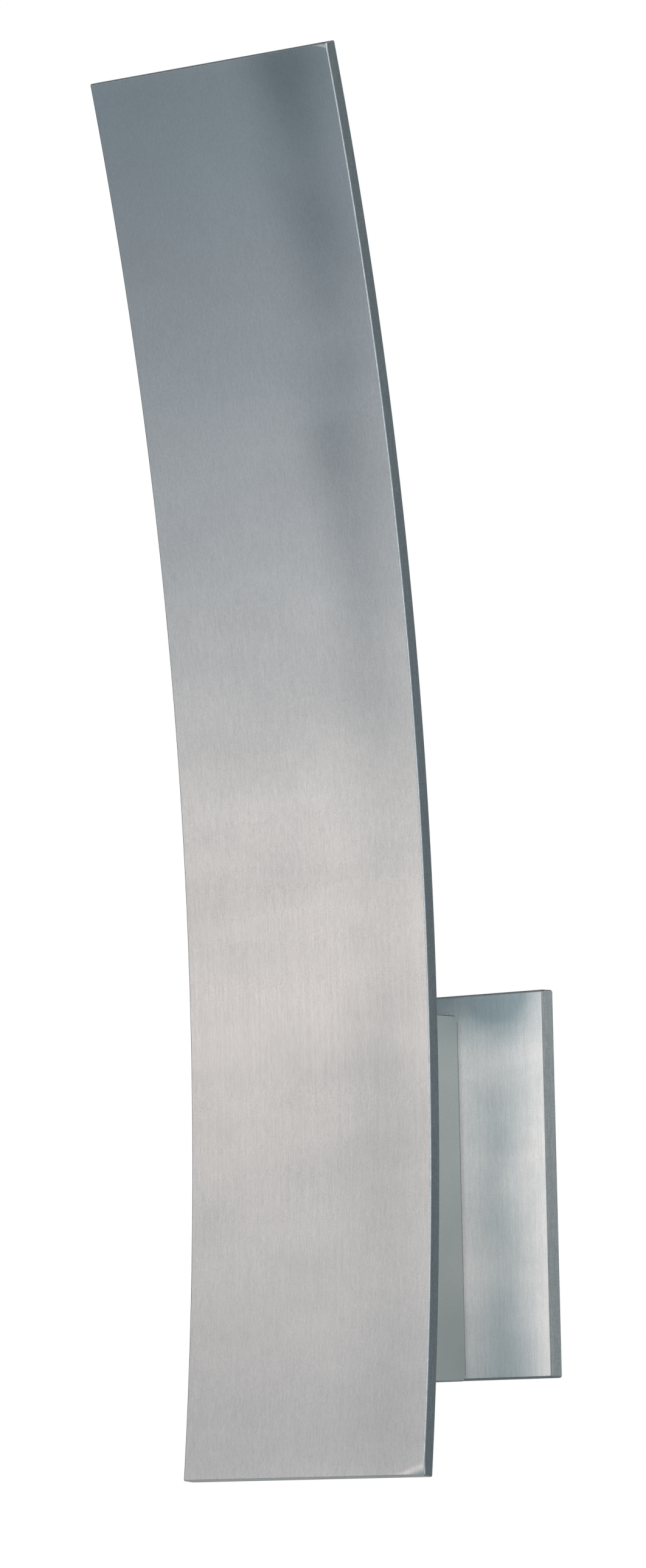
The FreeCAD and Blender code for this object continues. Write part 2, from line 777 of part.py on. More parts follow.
def housing_screws():
    """Countersunk socket screws, their heads level with the pocket's floor."""
    screws = []
    radius = sizes.housing_screw_radius
    head_height = sizes.housing_screw_head_height
    for side in sides:
        for level in screw_levels:
            place = (side * housing_screw_side, -pocket_floor, level, against_y)
            shank = rod("plate_screw_shank", radius, sizes.housing_screw_length, *place)
            head = cone("plate_screw_head", sizes.housing_screw_head_radius, radius, head_height, *place)
            key = hexagon("plate_screw_key", sizes.housing_screw_key_radius, head_height / 2, *place)
            screws.append(cut("plate_screw", fuse("plate_screw_blank", [shank, head]), [key]))
    keep(group("plate_screws", screws), "housing_screws")


def pan_screw(name, radius, head_radius, head_height, length, x, y, z, turn, back):
    """A pan head screw: its seat at the place given, its shank along turn and its head along back."""
    shank = rod(f"{name}_shank", radius, length, x, y, z, turn)
    head = rod(f"{name}_head", head_radius, head_height, x, y, z, back)
    return fuse(name, [shank, head])


def blade():
    """Bent plate: two arcs about one centre, closed by radial ends."""
    body = document.addObject("PartDesign::Body", "blade_body")
    sketch = sketch_on(body, "YZ_Plane", 0, 0, 0)
    centre = Vector(bend_centre.value, sizes.blade_vertex.value, 0)
    top = math.asin((sizes.blade_head - sizes.blade_vertex).value / sizes.blade_radius.value)
    foot = -math.asin((sizes.blade_foot + sizes.blade_vertex).value / sizes.blade_radius.value)
    arcs = []
    for radius in (sizes.blade_radius, blade_back_radius):
        circle = Part.Circle(centre, Vector(0, 0, 1), radius.value)
        arcs.append(sketch.addGeometry(Part.ArcOfCircle(circle, foot, top), False))
        hold(sketch, "Radius", (arcs[-1],), radius)
    front, rear = arcs
    for end in (1, 2):
        start_point = sketch.getPoint(front, end)
        end_point = sketch.getPoint(rear, end)
        line = sketch.addGeometry(Part.LineSegment(start_point, end_point), False)
        tie(sketch, "Coincident", front, end, line, 1)
        tie(sketch, "Coincident", rear, end, line, 2)
        tie(sketch, "PointOnObject", front, 3, line)
    tie(sketch, "Coincident", front, 3, rear, 3)
    hold(sketch, "DistanceX", (-1, 1, front, 3), bend_centre)
    hold(sketch, "DistanceY", (-1, 1, front, 3), sizes.blade_vertex)
    hold(sketch, "DistanceY", (-1, 1, front, 2), sizes.blade_head)
    hold(sketch, "DistanceY", (-1, 1, front, 1), -sizes.blade_foot)
    plate = pad(body, sketch, sizes.blade_width, both_ways=True)
    document.recompute()
    rounding = body.newObject("PartDesign::Fillet", "blade_rounding")
    rounding.Base = (plate, ["Edge1"])
    rounding.UseAllEdges = True
    bind(rounding, "Radius", sizes.blade_edge)
    keep(body, "blade")


def blade_fixings():
    """Welded studs behind the blade, and the washer and nut on each inside the housing."""
    studs = []
    washers = []
    nuts = []
    washer_hole = sizes.stud_radius + sizes.thread_gap
    half_width = sizes.stud_side + sizes.stud_radius + sizes.overrun
    bend = rod("blade_bend", blade_back_radius + sizes.weld_gap, half_width * 2,
               -half_width, bend_centre, sizes.blade_vertex, along_x)
    for across, level in stud_places():
        root_depth = arc_depth(blade_back_radius, level) - sizes.overrun
        reach = stud_pad + sizes.washer_thick + sizes.nut_height + sizes.stud_end - root_depth
        stud = rod("stud_rod", sizes.stud_radius, reach, across, root_depth, level, along_y)
        studs.append(cut("stud", stud, [bend]))
        disc = rod("washer_disc", sizes.washer_radius, sizes.washer_thick, across, stud_pad, level, along_y)
        nut_seat = stud_pad + sizes.washer_thick
        bar = hexagon("nut_bar", sizes.nut_flat_radius, sizes.nut_height, across, nut_seat, level, along_y)
        whole = sizes.washer_thick + sizes.nut_height + sizes.overrun * 2
        for blank, name, made in ((disc, "washer", washers), (bar, "nut", nuts)):
            hole = rod(f"{name}_hole", washer_hole, whole, across, stud_pad - sizes.overrun, level, along_y)
            made.append(cut(name, blank, [hole]))
    keep(group("studs", studs), "blade_studs")
    keep(group("washers", washers), "blade_washers")
    keep(group("nuts", nuts), "blade_nuts")


def led_driver():
    """Potted driver with an ear at each end, seated on the housing's posts."""
    body = document.addObject("PartDesign::Body", "driver_body")
    sketch = sketch_on(body, "XZ_Plane", 0, housing_middle, sizes.driver_front - sizes.driver_depth)
    draw_rounded_rectangle(sketch, sizes.driver_width, sizes.driver_length, sizes.driver_corner)
    pad(body, sketch, sizes.driver_depth)
    solids = [body]
    holes = []
    hole = sizes.pan_radius + sizes.screw_hole_gap
    ear_middle = -sizes.driver_front + sizes.driver_ear_thick / 2
    ear_length = sizes.driver_ear_reach + sizes.driver_corner
    for end, level in zip(sides, post_levels()):
        ear_tip = sizes.driver_length / 2 + sizes.driver_ear_reach
        ear_height = housing_middle + end * (ear_tip - ear_length / 2)
        solids.append(box("driver_ear", sizes.driver_ear_width, sizes.driver_ear_thick, ear_length,
                          0, ear_middle, ear_height))
        through = sizes.driver_ear_thick + sizes.overrun * 2
        holes.append(rod("ear_hole", hole, through, 0, -sizes.driver_front - sizes.overrun, level, along_y))
    keep(cut("driver", fuse("driver_blank", solids), holes), "led_driver")
    screws = []
    seat = -sizes.driver_front + sizes.driver_ear_thick
    for level in post_levels():
        screws.append(pan_screw("driver_screw", sizes.pan_radius, sizes.pan_head_radius,
                                sizes.pan_head_height, sizes.pan_length, 0, seat, level, against_y, along_y))
    keep(group("driver_screw_group", screws), "driver_screws")


def lens_stack(end):
    """Seal, lens and bezel of a light end, and the bezel's countersunk screws."""
    middle = -sizes.end_centre
    window = (sizes.window_width, sizes.window_length, sizes.window_corner)
    bezel_outline = (sizes.bezel_width, sizes.bezel_length, sizes.bezel_corner)
    lens_outline = (sizes.lens_width, sizes.lens_length, sizes.lens_corner)
    under_bezel = sizes.bezel_thick
    under_lens = under_bezel + sizes.lens_thick
    ledge = under_lens + sizes.lens_seal_thick
    layers = (
        ("lens_seal", under_lens, ledge, lens_outline, window),
        ("lens", under_bezel, under_lens, lens_outline, None),
    )
    for name, near, far, outer, inner in layers:
        place = (0, middle, end_lift(end, near, far))
        piece = flat_ring(f"{name}_{end.name}_body", "XY_Plane", place, far - near, outer, inner)
        keep(piece, f"{name}_{end.name}")
    place = (0, middle, end_lift(end, 0, under_bezel))
    ring = flat_ring(f"bezel_{end.name}_body", "XY_Plane", place, sizes.bezel_thick, bezel_outline, window)
    holes = []
    screws = []
    radius = sizes.bezel_screw_radius
    head_radius = sizes.bezel_screw_head_radius
    head_height = sizes.bezel_screw_head_height
    for depth in end_screw_depths():
        start = end_level(end, -sizes.overrun)
        through = sizes.bezel_thick + sizes.overrun * 2
        shank_hole = radius + sizes.thread_gap
        sink = head_height + sizes.thread_gap
        holes.append(rod("bezel_hole", shank_hole, through, 0, depth, start, end.turn))
        holes.append(cone("bezel_sink", head_radius + sizes.thread_gap, shank_hole, sink,
                          0, depth, end.face, end.turn))
        shank = rod("bezel_shank", radius, sizes.bezel_screw_length, 0, depth, end.face, end.turn)
        head = cone("bezel_head", head_radius, radius, head_height, 0, depth, end.face, end.turn)
        key = hexagon("bezel_key", sizes.bezel_screw_key_radius, head_height / 2,
                      0, depth, end.face, end.turn)
        screws.append(cut("bezel_screw", fuse("bezel_screw_blank", [shank, head]), [key]))
    keep(cut(f"bezel_{end.name}_cut", ring, holes), f"bezel_{end.name}")
    keep(group(f"bezel_screws_{end.name}_group", screws), f"bezel_screws_{end.name}")


def board_screw_places():
    for side in sides:
        for along in sides:
            yield side * sizes.board_screw_side, -sizes.end_centre + along * sizes.board_screw_reach


def light_engine(end):
    """Heat spreader on the pillars, with the board, its chips, its connector and the screws."""
    middle = -sizes.end_centre
    outwards = along_z if end.inwards < 0 else against_z
    far = board_depth + sizes.mount_thick
    window_width = sizes.connector_width + sizes.connector_window_play * 2
    window_length = sizes.connector_length + sizes.connector_window_play * 2
    spreader = flat_ring(
        f"spreader_{end.name}_body", "XY_Plane", (0, middle, end_lift(end, board_depth, far)),
        sizes.mount_thick, (sizes.mount_width, sizes.mount_length, sizes.mount_corner),
        (window_width, window_length, sizes.board_corner))
    holes = []
    screws = []
    shank = sizes.pan_radius + sizes.screw_hole_gap
    through = sizes.mount_thick + sizes.overrun * 2
    for depth in end_screw_depths():
        below = end_level(end, far + sizes.overrun)
        holes.append(rod("spreader_hole", shank, through, 0, depth, below, outwards))
        screws.append(pan_screw("spreader_screw", sizes.pan_radius, sizes.pan_head_radius,
                                sizes.pan_head_height, sizes.pan_length,
                                0, depth, end_level(end, far), outwards, end.turn))
    board_face = board_depth - sizes.board_thick
    board_screws = []
    board_holes = []
    tap = sizes.small_pan_radius + sizes.thread_gap
    for across, depth in board_screw_places():
        seat = end_level(end, board_face)
        board_screws.append(pan_screw("board_screw", sizes.small_pan_radius, sizes.small_pan_head_radius,
                                      sizes.small_pan_head_height, sizes.board_screw_length,
                                      across, depth, seat, end.turn, outwards))
        above = end_level(end, board_face - sizes.overrun)
        board_through = sizes.board_thick + sizes.mount_thick + sizes.overrun * 2
        holes.append(rod("board_tap", tap, board_through, across, depth, above, end.turn))
        board_holes.append(rod("board_hole", tap, board_through, across, depth, above, end.turn))
    keep(cut(f"spreader_{end.name}_cut", spreader, holes), f"heat_spreader_{end.name}")
    keep(group(f"spreader_screws_{end.name}_group", screws), f"spreader_screws_{end.name}")
    board = flat_ring(
        f"board_{end.name}_body", "XY_Plane", (0, middle, end_lift(end, board_face, board_depth)),
        sizes.board_thick, (sizes.board_width, sizes.board_length, sizes.board_corner), None)
    keep(cut(f"board_{end.name}_cut", board, board_holes), f"led_board_{end.name}")
    keep(group(f"board_screws_{end.name}_group", board_screws), f"led_board_screws_{end.name}")
    chips = []
    chip_level = end_level(end, board_face - sizes.chip_thick / 2)
    for column in chip_columns:
        for row in chip_rows:
            across = column * sizes.chip_pitch_across
            depth = middle + row * sizes.chip_pitch_along
            chips.append(box("chip", sizes.chip_size, sizes.chip_size, sizes.chip_thick,
                             across, depth, chip_level))
    keep(group(f"chips_{end.name}_group", chips), f"led_chips_{end.name}")
    plug_far = far + sizes.connector_reach
    plug_level = end_level(end, (board_depth + plug_far) / 2)
    plug = box(f"connector_{end.name}_box", sizes.connector_width, sizes.connector_length,
               plug_far - board_depth, 0, middle, plug_level)
    keep(plug, f"led_connector_{end.name}")


def rounded_route(points, bend_share):
    """Straight runs joined by tangent arcs that use a share of the shorter run."""
    edges = []
    last = points[0]
    for before, corner, after in zip(points, points[1:], points[2:]):
        run_in = corner - before
        run_out = after - corner
        back = min(run_in.Length, run_out.Length) * bend_share
        start = corner - run_in.normalize() * back
        end = corner + run_out.normalize() * back
        half_turn = run_in.getAngle(run_out) / 2
        radius = back / math.tan(half_turn)
        inward = (run_out - run_in).normalize()
        centre = corner + inward * (radius / math.cos(half_turn))
        edges.append(Part.LineSegment(last, start).toShape())
        edges.append(Part.Arc(start, centre - inward * radius, end).toShape())
        print("cable bend radius", round(radius, 2))
        last = end
    edges.append(Part.LineSegment(last, points[-1]).toShape())
    return Part.Wire(edges)


def led_cable(end):
    """Cable from the driver's end to the board's connector, with one easy S bend."""
    bend_share = 0.45
    outwards = -end.inwards
    driver_end = (housing_middle + outwards * sizes.driver_length / 2).value
    plug = end_level(end, board_depth + sizes.mount_thick + sizes.connector_reach).value
    outlet = -sizes.cable_outlet.value
    inlet = -sizes.end_centre.value
    straight = (plug - driver_end) / 3
    points = [
        Vector(0, outlet, driver_end),
        Vector(0, outlet, driver_end + straight),
        Vector(0, inlet, plug - straight),
        Vector(0, inlet, plug),
    ]
    route = rounded_route(points, bend_share)
    circle = Part.Circle(points[0], Vector(0, 0, 1), sizes.cable_radius.value)
    tube = route.makePipeShell([Part.Wire(circle.toShape())], True, False)
    section = math.pi * sizes.cable_radius.value ** 2
    print("cable volume share", round(tube.Volume / (section * route.Length), 4))
    item = document.addObject("Part::Feature", f"cable_{end.name}")
    item.Shape = tube
    item.Placement = FreeCAD.Placement()
    keep(item, f"led_cable_{end.name}")


def build():
    wall_bracket()
    ground_screw()
    back_plate()
    wall_seal()
    plate_grub_screws()
    wire_grommet()
    lamp_housing()
    housing_seal()
    housing_screws()
    blade()
    blade_fixings()
    led_driver()
    for end in light_ends():
        lens_stack(end)
        light_engine(end)
        led_cable(end)
    document.recompute()


def check():
    """Stops if any object failed or any sub-part has no sound shape."""
    for item in document.Objects:
        if "Invalid" in item.State or "Error" in item.State:
            raise RuntimeError(f"{item.Name} failed: {item.State}")
    for item in nodes:
        if item.Shape.isNull() or not item.Shape.isValid():
            raise RuntimeError(f"{item.Label} has no valid shape")


def write_parts():
    os.makedirs("parts", exist_ok=True)
    for item in nodes:
        shape = item.Shape
        shape.exportStep(f"parts/{item.Label}.step")
        print(item.Label, len(shape.Solids), "solids", round(shape.Volume, 1), "mm3")


build()
check()
write_parts()
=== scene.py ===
import math

import bpy
from mathutils import Matrix, Vector


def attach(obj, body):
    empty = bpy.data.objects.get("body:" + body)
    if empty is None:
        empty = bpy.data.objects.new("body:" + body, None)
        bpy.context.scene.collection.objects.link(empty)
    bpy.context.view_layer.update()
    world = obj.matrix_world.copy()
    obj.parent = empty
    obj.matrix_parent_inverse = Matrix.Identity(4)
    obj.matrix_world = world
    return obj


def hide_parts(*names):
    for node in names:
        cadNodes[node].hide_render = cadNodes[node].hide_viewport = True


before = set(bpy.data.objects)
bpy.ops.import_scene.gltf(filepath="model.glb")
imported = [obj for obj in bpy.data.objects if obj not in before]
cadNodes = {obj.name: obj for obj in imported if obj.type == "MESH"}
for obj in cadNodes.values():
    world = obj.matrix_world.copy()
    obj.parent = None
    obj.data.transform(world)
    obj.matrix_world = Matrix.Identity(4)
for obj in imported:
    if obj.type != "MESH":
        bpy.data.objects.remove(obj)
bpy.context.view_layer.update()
scene = bpy.context.scene
scene.view_settings.view_transform = "Standard"
print("frame loaded,", len(cadNodes), "nodes")

# Camera

photoCamera = {
    "place": (2.07053, -2.58521, -0.13023),
    "turn": 0.68938,  # radians, round to the right of the light
    "tilt": 0.09362,  # looking up
    "roll": 0.02222,
    "lens": 172.47,  # mm, for a sensor whose long side is 36 mm
    "sensor": 36.0,
    "near": 0.1,
    "far": 80.0,
}


def makeCamera(values):
    turn, tilt, roll = values["turn"], values["tilt"], values["roll"]
    level = math.cos(tilt)
    forward = Vector((-math.sin(turn) * level, math.cos(turn) * level, math.sin(tilt)))
    right = Vector((math.cos(turn), math.sin(turn), 0))
    down = forward.cross(right)
    imageRight = math.cos(roll) * right + math.sin(roll) * down
    imageDown = -math.sin(roll) * right + math.cos(roll) * down
    pose = Matrix((imageRight, -imageDown, -forward)).transposed().to_4x4()
    pose.translation = Vector(values["place"])
    data = bpy.data.cameras.new("photoCamera")
    data.lens = values["lens"]
    data.sensor_width = values["sensor"]
    data.clip_start = values["near"]
    data.clip_end = values["far"]
    camera = bpy.data.objects.new("photoCamera", data)
    camera.matrix_world = pose
    scene.collection.objects.link(camera)
    scene.camera = camera


makeCamera(photoCamera)
print("camera placed")

# Small helpers for node trees


def feed(tree, socket, value):
    if isinstance(value, bpy.types.NodeSocket):
        tree.links.new(value, socket)
    elif socket.type == "RGBA":
        socket.default_value = (*value, 1)
    else:
        socket.default_value = value


def addNode(tree, kind, inputs=None, **settings):
    node = tree.nodes.new(kind)
    for name, setting in settings.items():
        setattr(node, name, setting)
    for name, value in (inputs or {}).items():
        feed(tree, node.inputs[name], value)
    return node


def doMath(tree, operation, first, second=0.0):
    return addNode(tree, "ShaderNodeMath", {0: first, 1: second}, operation=operation).outputs[0]


def doVector(tree, operation, first, second=(0, 0, 0)):
    node = addNode(tree, "ShaderNodeVectorMath", {0: first, 1: second}, operation=operation)
    return node.outputs["Vector"]


def mapRange(tree, value, fromLow, fromHigh, toLow, toHigh):
    inputs = {0: value, 1: fromLow, 2: fromHigh, 3: toLow, 4: toHigh}
    return addNode(tree, "ShaderNodeMapRange", inputs, interpolation_type="SMOOTHSTEP").outputs[0]


def mixColour(tree, factor, first, second, blend="MIX"):
    inputs = {0: factor, 6: first, 7: second}  # 6, 7 and output 2 are the node's colour sockets
    return addNode(tree, "ShaderNodeMix", inputs, data_type="RGBA", blend_type=blend).outputs[2]


def multiplyColour(tree, first, second):
    return mixColour(tree, 1.0, first, second, "MULTIPLY")


def splitVector(tree, vector):
    return addNode(tree, "ShaderNodeSeparateXYZ", {0: vector}).outputs


def surfaceNormal(tree):
    return addNode(tree, "ShaderNodeNewGeometry").outputs["Normal"]


def addNoise(tree, place, scale, detail=2.0, roughness=0.5):
    inputs = {"Vector": place, "Scale": scale, "Detail": detail, "Roughness": roughness}
    return addNode(tree, "ShaderNodeTexNoise", inputs).outputs[0]


def newGroup(name, inputs, outputs):
    tree = bpy.data.node_groups.new(name, "ShaderNodeTree")
    kinds = {"vector": "NodeSocketVector", "colour": "NodeSocketColor", "number": "NodeSocketFloat"}
    for title, kind in inputs:
        tree.interface.new_socket(title, in_out="INPUT", socket_type=kinds[kind])
    for title, kind in outputs:
        tree.interface.new_socket(title, in_out="OUTPUT", socket_type=kinds[kind])
    return tree, tree.nodes.new("NodeGroupInput").outputs, tree.nodes.new("NodeGroupOutput").inputs


def useGroup(tree, group, inputs):
    node = addNode(tree, "ShaderNodeGroup", node_tree=group)
    for name, value in inputs.items():
        feed(tree, node.inputs[name], value)
    return node.outputs


# Effects that several finishes share; four numbers are a range: from, to, and the values there

handlingShape = {
    "detail": 3.0,
    "softness": 0.6,
    "shown": (0.32, 0.68, 0.0, 1.0),
}
bandShape = {
    "noiseMiddle": 0.5,
    "driftDetail": 1.0,
    "fadeDetail": 2.0,
    "fadeMoved": (0.31, 0.17, 0.23),  # so that the fading and the drifting differ
    "fade": (0.35, 0.6, 0.4, 1.0),
    "leftToRight": (-0.04, 0.04, 0.1, 1.0),
    "lowToHigh": (0.15, 0.42, 0.3, 1.0),
}
brushShape = {
    "detail": 2.0,
    "softness": 0.6,
    "lineStretch": (0.35, 0.35, 0.06),  # long lines, as a share of the hairs
    "lineDetail": 3.0,
    "peenScale": 2600.0,
    "hairShare": 0.35,
    "peenShare": 0.45,
    "lineShare": 0.2,
    "streak": (0.38, 0.62, 0.0, 1.0),
    "wiped": (0.6, 1.0, 1.6),  # clouds are wider than they are high
    "rimAcross": (0.048, 0.07, 1.0, 0.25),  # weaker beside the upright edges
    "rimHead": (0.6, 1.02, 0.0, 0.85),  # shares of the rim's level
    "rimFoot": (-1.05, -0.35, 0.35, 0.0),
    "toneBehind": (-0.3, 0.3, 1.0, 0.3),  # less painted shade and clouds on what faces the wall
    "side": (0.03, 0.22, 0.0, 1.0),  # shares of a normal, as in the next two
    "head": (0.04, 0.16, 0.0, 1.0),
    "foot": (-0.16, -0.04, 1.0, 0.0),
    "sawnLight": (1.18, 1.18, 1.18),
    "sawnDark": (0.82, 0.82, 0.82),
}
grainShape = {
    "detail": 2.0,
    "softness": 0.55,
    "fleck": (0.12, 0.42, 0.0, 1.0),
    "cloudSize": 0.05,
    "cellHeight": 0.5,
}


def makeHandlingGroup(shape):
    # Faint clouds left by wiping and handling, from 0 to 1
    tree, given, out = newGroup(
        "handling", [("Place", "vector"), ("Size", "number")], [("Mask", "number")])
    scale = doMath(tree, "DIVIDE", 1.0, given["Size"])
    broad = addNoise(tree, given["Place"], scale, shape["detail"], shape["softness"])
    feed(tree, out["Mask"], mapRange(tree, broad, *shape["shown"]))
    return tree


def makeBandGroup(shape):
    # A broad lengthwise band of painted shade, standing for a dark reflection, on each half of a
    # sheet, from 0 to 1, far stronger on the right half than on the left and strongest high up
    tree, given, out = newGroup(
        "paintedShadeBand",
        [("Place", "vector"), ("Line", "number"), ("Half Width", "number"), ("Patch", "number")],
        [("Mask", "number")])
    split = splitVector(tree, given["Place"])
    scale = doMath(tree, "DIVIDE", 1.0, given["Patch"])
    drift = doMath(tree, "SUBTRACT", addNoise(tree, given["Place"], scale, shape["driftDetail"]),
                   shape["noiseMiddle"])
    across = doMath(tree, "ADD", doMath(tree, "ABSOLUTE", split["X"]),
                    doMath(tree, "MULTIPLY", drift, given["Half Width"]))
    gap = doMath(tree, "ABSOLUTE", doMath(tree, "SUBTRACT", across, given["Line"]))
    band = mapRange(tree, doMath(tree, "DIVIDE", gap, given["Half Width"]), 0.0, 1.0, 1.0, 0.0)
    moved = doVector(tree, "ADD", given["Place"], shape["fadeMoved"])
    fade = mapRange(tree, addNoise(tree, moved, scale, shape["fadeDetail"]), *shape["fade"])
    for axis, change in (("X", "leftToRight"), ("Z", "lowToHigh")):
        fade = doMath(tree, "MULTIPLY", fade, mapRange(tree, split[axis], *shape[change]))
    feed(tree, out["Mask"], doMath(tree, "MULTIPLY", band, fade))
    return tree


def makeBrushedGroup(shape, handling, paintedShadeBand):
    # Brushing lines along the piece, with handling clouds, bands and rims of painted shade, and cut
    # sides of their own, painted darker as painted shade
    tree, given, out = newGroup(
        "brushedGrain",
        [("Place", "vector"), ("Stretch", "vector"),
         ("Colour", "colour"), ("Streak Colour", "colour"), ("Shade And Cloud Colour", "colour"),
         ("Band", "number"), ("Band Line", "number"), ("Band Width", "number"),
         ("Cloud", "number"), ("Cloud Size", "number"), ("Rim", "number"), ("Rim Level", "number"),
         ("Curve", "number"), ("Vertex", "number"),
         ("Side Colour", "colour"), ("Cut Head", "number"), ("Cut Foot", "number"),
         ("Roughness", "number"), ("Spread", "number")],
        [("Colour", "colour"), ("Roughness", "number"), ("Height", "number")])
    place = given["Place"]
    drawn = doVector(tree, "MULTIPLY", place, given["Stretch"])
    drawnLong = doVector(tree, "MULTIPLY", drawn, shape["lineStretch"])
    hair = addNoise(tree, drawn, 1.0, shape["detail"], shape["softness"])
    line = addNoise(tree, drawnLong, 1.0, shape["lineDetail"], shape["softness"])
    peen = addNoise(tree, place, shape["peenScale"], 1.0)
    streak = doMath(tree, "ADD", doMath(tree, "MULTIPLY", hair, shape["hairShare"]),
                    doMath(tree, "MULTIPLY", peen, shape["peenShare"]))
    streak = doMath(tree, "ADD", streak, doMath(tree, "MULTIPLY", line, shape["lineShare"]))
    streak = mapRange(tree, streak, *shape["streak"])
    face = mixColour(tree, streak, given["Colour"], given["Streak Colour"])
    # Painted shade (bands and rims) and handling clouds, which darken the brushing without hiding
    # it
    wiped = doVector(tree, "MULTIPLY", place, shape["wiped"])
    cloud = useGroup(tree, handling, {"Place": wiped, "Size": given["Cloud Size"]})["Mask"]
    band = useGroup(tree, paintedShadeBand, {
        "Place": place, "Line": given["Band Line"], "Half Width": given["Band Width"],
        "Patch": given["Cloud Size"]})["Mask"]
    turned = splitVector(tree, surfaceNormal(tree))
    split = splitVector(tree, place)
    # Painted shade: a darker rim along the top and the foot of the plate
    reach = doMath(tree, "DIVIDE", split["Z"], given["Rim Level"])
    middle = mapRange(tree, doMath(tree, "ABSOLUTE", split["X"]), *shape["rimAcross"])
    rim = doMath(tree, "ADD", mapRange(tree, reach, *shape["rimHead"]),
                 mapRange(tree, reach, *shape["rimFoot"]))
    rim = doMath(tree, "MULTIPLY", rim, middle)
    tone = doMath(tree, "ADD", doMath(tree, "MULTIPLY", band, given["Band"]),
                  doMath(tree, "MULTIPLY", cloud, given["Cloud"]))
    tone = doMath(tree, "ADD", tone, doMath(tree, "MULTIPLY", rim, given["Rim"]))
    tone = doMath(tree, "MULTIPLY", tone, mapRange(tree, turned["Y"], *shape["toneBehind"]))
    tint = mixColour(tree, tone, (1, 1, 1), given["Shade And Cloud Colour"])
    face = multiplyColour(tree, face, tint)
    # The sawn edges, painted darker as painted shade: the sides, and the ends by their slope beyond
    # the lean of the curve itself
    side = mapRange(tree, doMath(tree, "ABSOLUTE", turned["X"]), *shape["side"])
    rise = doMath(tree, "SUBTRACT", split["Z"], given["Vertex"])
    lean = doMath(tree, "MULTIPLY", given["Curve"], rise)
    steep = doMath(tree, "SUBTRACT", turned["Z"], doMath(tree, "MULTIPLY", lean, turned["Y"]))
    head = doMath(tree, "MULTIPLY", mapRange(tree, steep, *shape["head"]), given["Cut Head"])
    foot = doMath(tree, "MULTIPLY", mapRange(tree, steep, *shape["foot"]), given["Cut Foot"])
    cut = doMath(tree, "MAXIMUM", side, doMath(tree, "MAXIMUM", head, foot))
    sawnAndShaded = multiplyColour(tree, given["Side Colour"],
                          mixColour(tree, streak, shape["sawnLight"], shape["sawnDark"]))
    feed(tree, out["Colour"], mixColour(tree, cut, face, sawnAndShaded))
    shift = doMath(tree, "SUBTRACT", doMath(tree, "ADD", streak, cloud), 1.0)  # about 0 overall
    change = doMath(tree, "MULTIPLY", shift, given["Spread"])
    feed(tree, out["Roughness"], doMath(tree, "ADD", given["Roughness"], change))
    feed(tree, out["Height"], hair)
    return tree


def makeGrainGroup(shape, handling):
    # Fine even grain of coated, moulded and foamed surfaces
    tree, given, out = newGroup(
        "surfaceGrain",
        [("Place", "vector"), ("Grain", "number"), ("Colour", "colour"), ("Fleck Colour", "colour"),
         ("Roughness", "number"), ("Spread", "number")],
        [("Colour", "colour"), ("Roughness", "number"), ("Height", "number")])
    scale = doMath(tree, "DIVIDE", 1.0, given["Grain"])
    soft = addNoise(tree, given["Place"], scale, shape["detail"], shape["softness"])
    spots = {"Vector": given["Place"], "Scale": scale}
    cells = addNode(tree, "ShaderNodeTexVoronoi", spots).outputs["Distance"]
    fleck = mapRange(tree, doMath(tree, "MULTIPLY", soft, cells), *shape["fleck"])
    cloud = useGroup(tree, handling, {"Place": given["Place"], "Size": shape["cloudSize"]})["Mask"]
    feed(tree, out["Colour"], mixColour(tree, fleck, given["Colour"], given["Fleck Colour"]))
    shift = doMath(tree, "SUBTRACT", doMath(tree, "ADD", fleck, cloud), 1.0)  # about 0 overall
    change = doMath(tree, "MULTIPLY", shift, given["Spread"])
    feed(tree, out["Roughness"], doMath(tree, "ADD", given["Roughness"], change))
    raised = doMath(tree, "MULTIPLY", cells, shape["cellHeight"])
    feed(tree, out["Height"], doMath(tree, "ADD", soft, raised))
    return tree


handlingGroup = makeHandlingGroup(handlingShape)
bandGroup = makeBandGroup(bandShape)
brushedGroup = makeBrushedGroup(brushShape, handlingGroup, bandGroup)
grainGroup = makeGrainGroup(grainShape, handlingGroup)
print("shared effects made")

# Finishes


def startMaterial(name, look):
    material = bpy.data.materials.new(name)
    material.use_nodes = True
    tree = material.node_tree
    shader = tree.nodes["Principled BSDF"]
    for socket, value in look.get("shader", {}).items():
        feed(tree, shader.inputs[socket], value)
    place = addNode(tree, "ShaderNodeTexCoord").outputs["Object"]
    return material, tree, shader, place


def addBump(tree, shader, height, distance, strength):
    inputs = {"Height": height, "Distance": distance, "Strength": strength}
    feed(tree, shader.inputs["Normal"], addNode(tree, "ShaderNodeBump", inputs).outputs[0])


def makeBrushed(name, look):
    material, tree, shader, place = startMaterial(name, look)
    made = useGroup(tree, brushedGroup, {
        "Place": place, "Stretch": look["stretch"], "Colour": look["colour"],
        "Streak Colour": look["streak"], "Shade And Cloud Colour": look["tone"], "Band": look["band"],
        "Band Line": look["bandLine"], "Band Width": look["bandWidth"], "Cloud": look["cloud"],
        "Cloud Size": look["cloudSize"], "Rim": look["rim"], "Rim Level": look["rimLevel"],
        "Curve": look["curve"], "Vertex": look["vertex"],
        "Side Colour": look["side"], "Cut Head": look["cutHead"], "Cut Foot": look["cutFoot"],
        "Roughness": look["roughness"], "Spread": look["spread"]})
    feed(tree, shader.inputs["Base Color"], made["Colour"])
    feed(tree, shader.inputs["Roughness"], made["Roughness"])
    addBump(tree, shader, made["Height"], look["relief"], look["strength"])
    along = doVector(tree, "CROSS_PRODUCT", surfaceNormal(tree), look["lines"])
    feed(tree, shader.inputs["Tangent"], along)
    return material


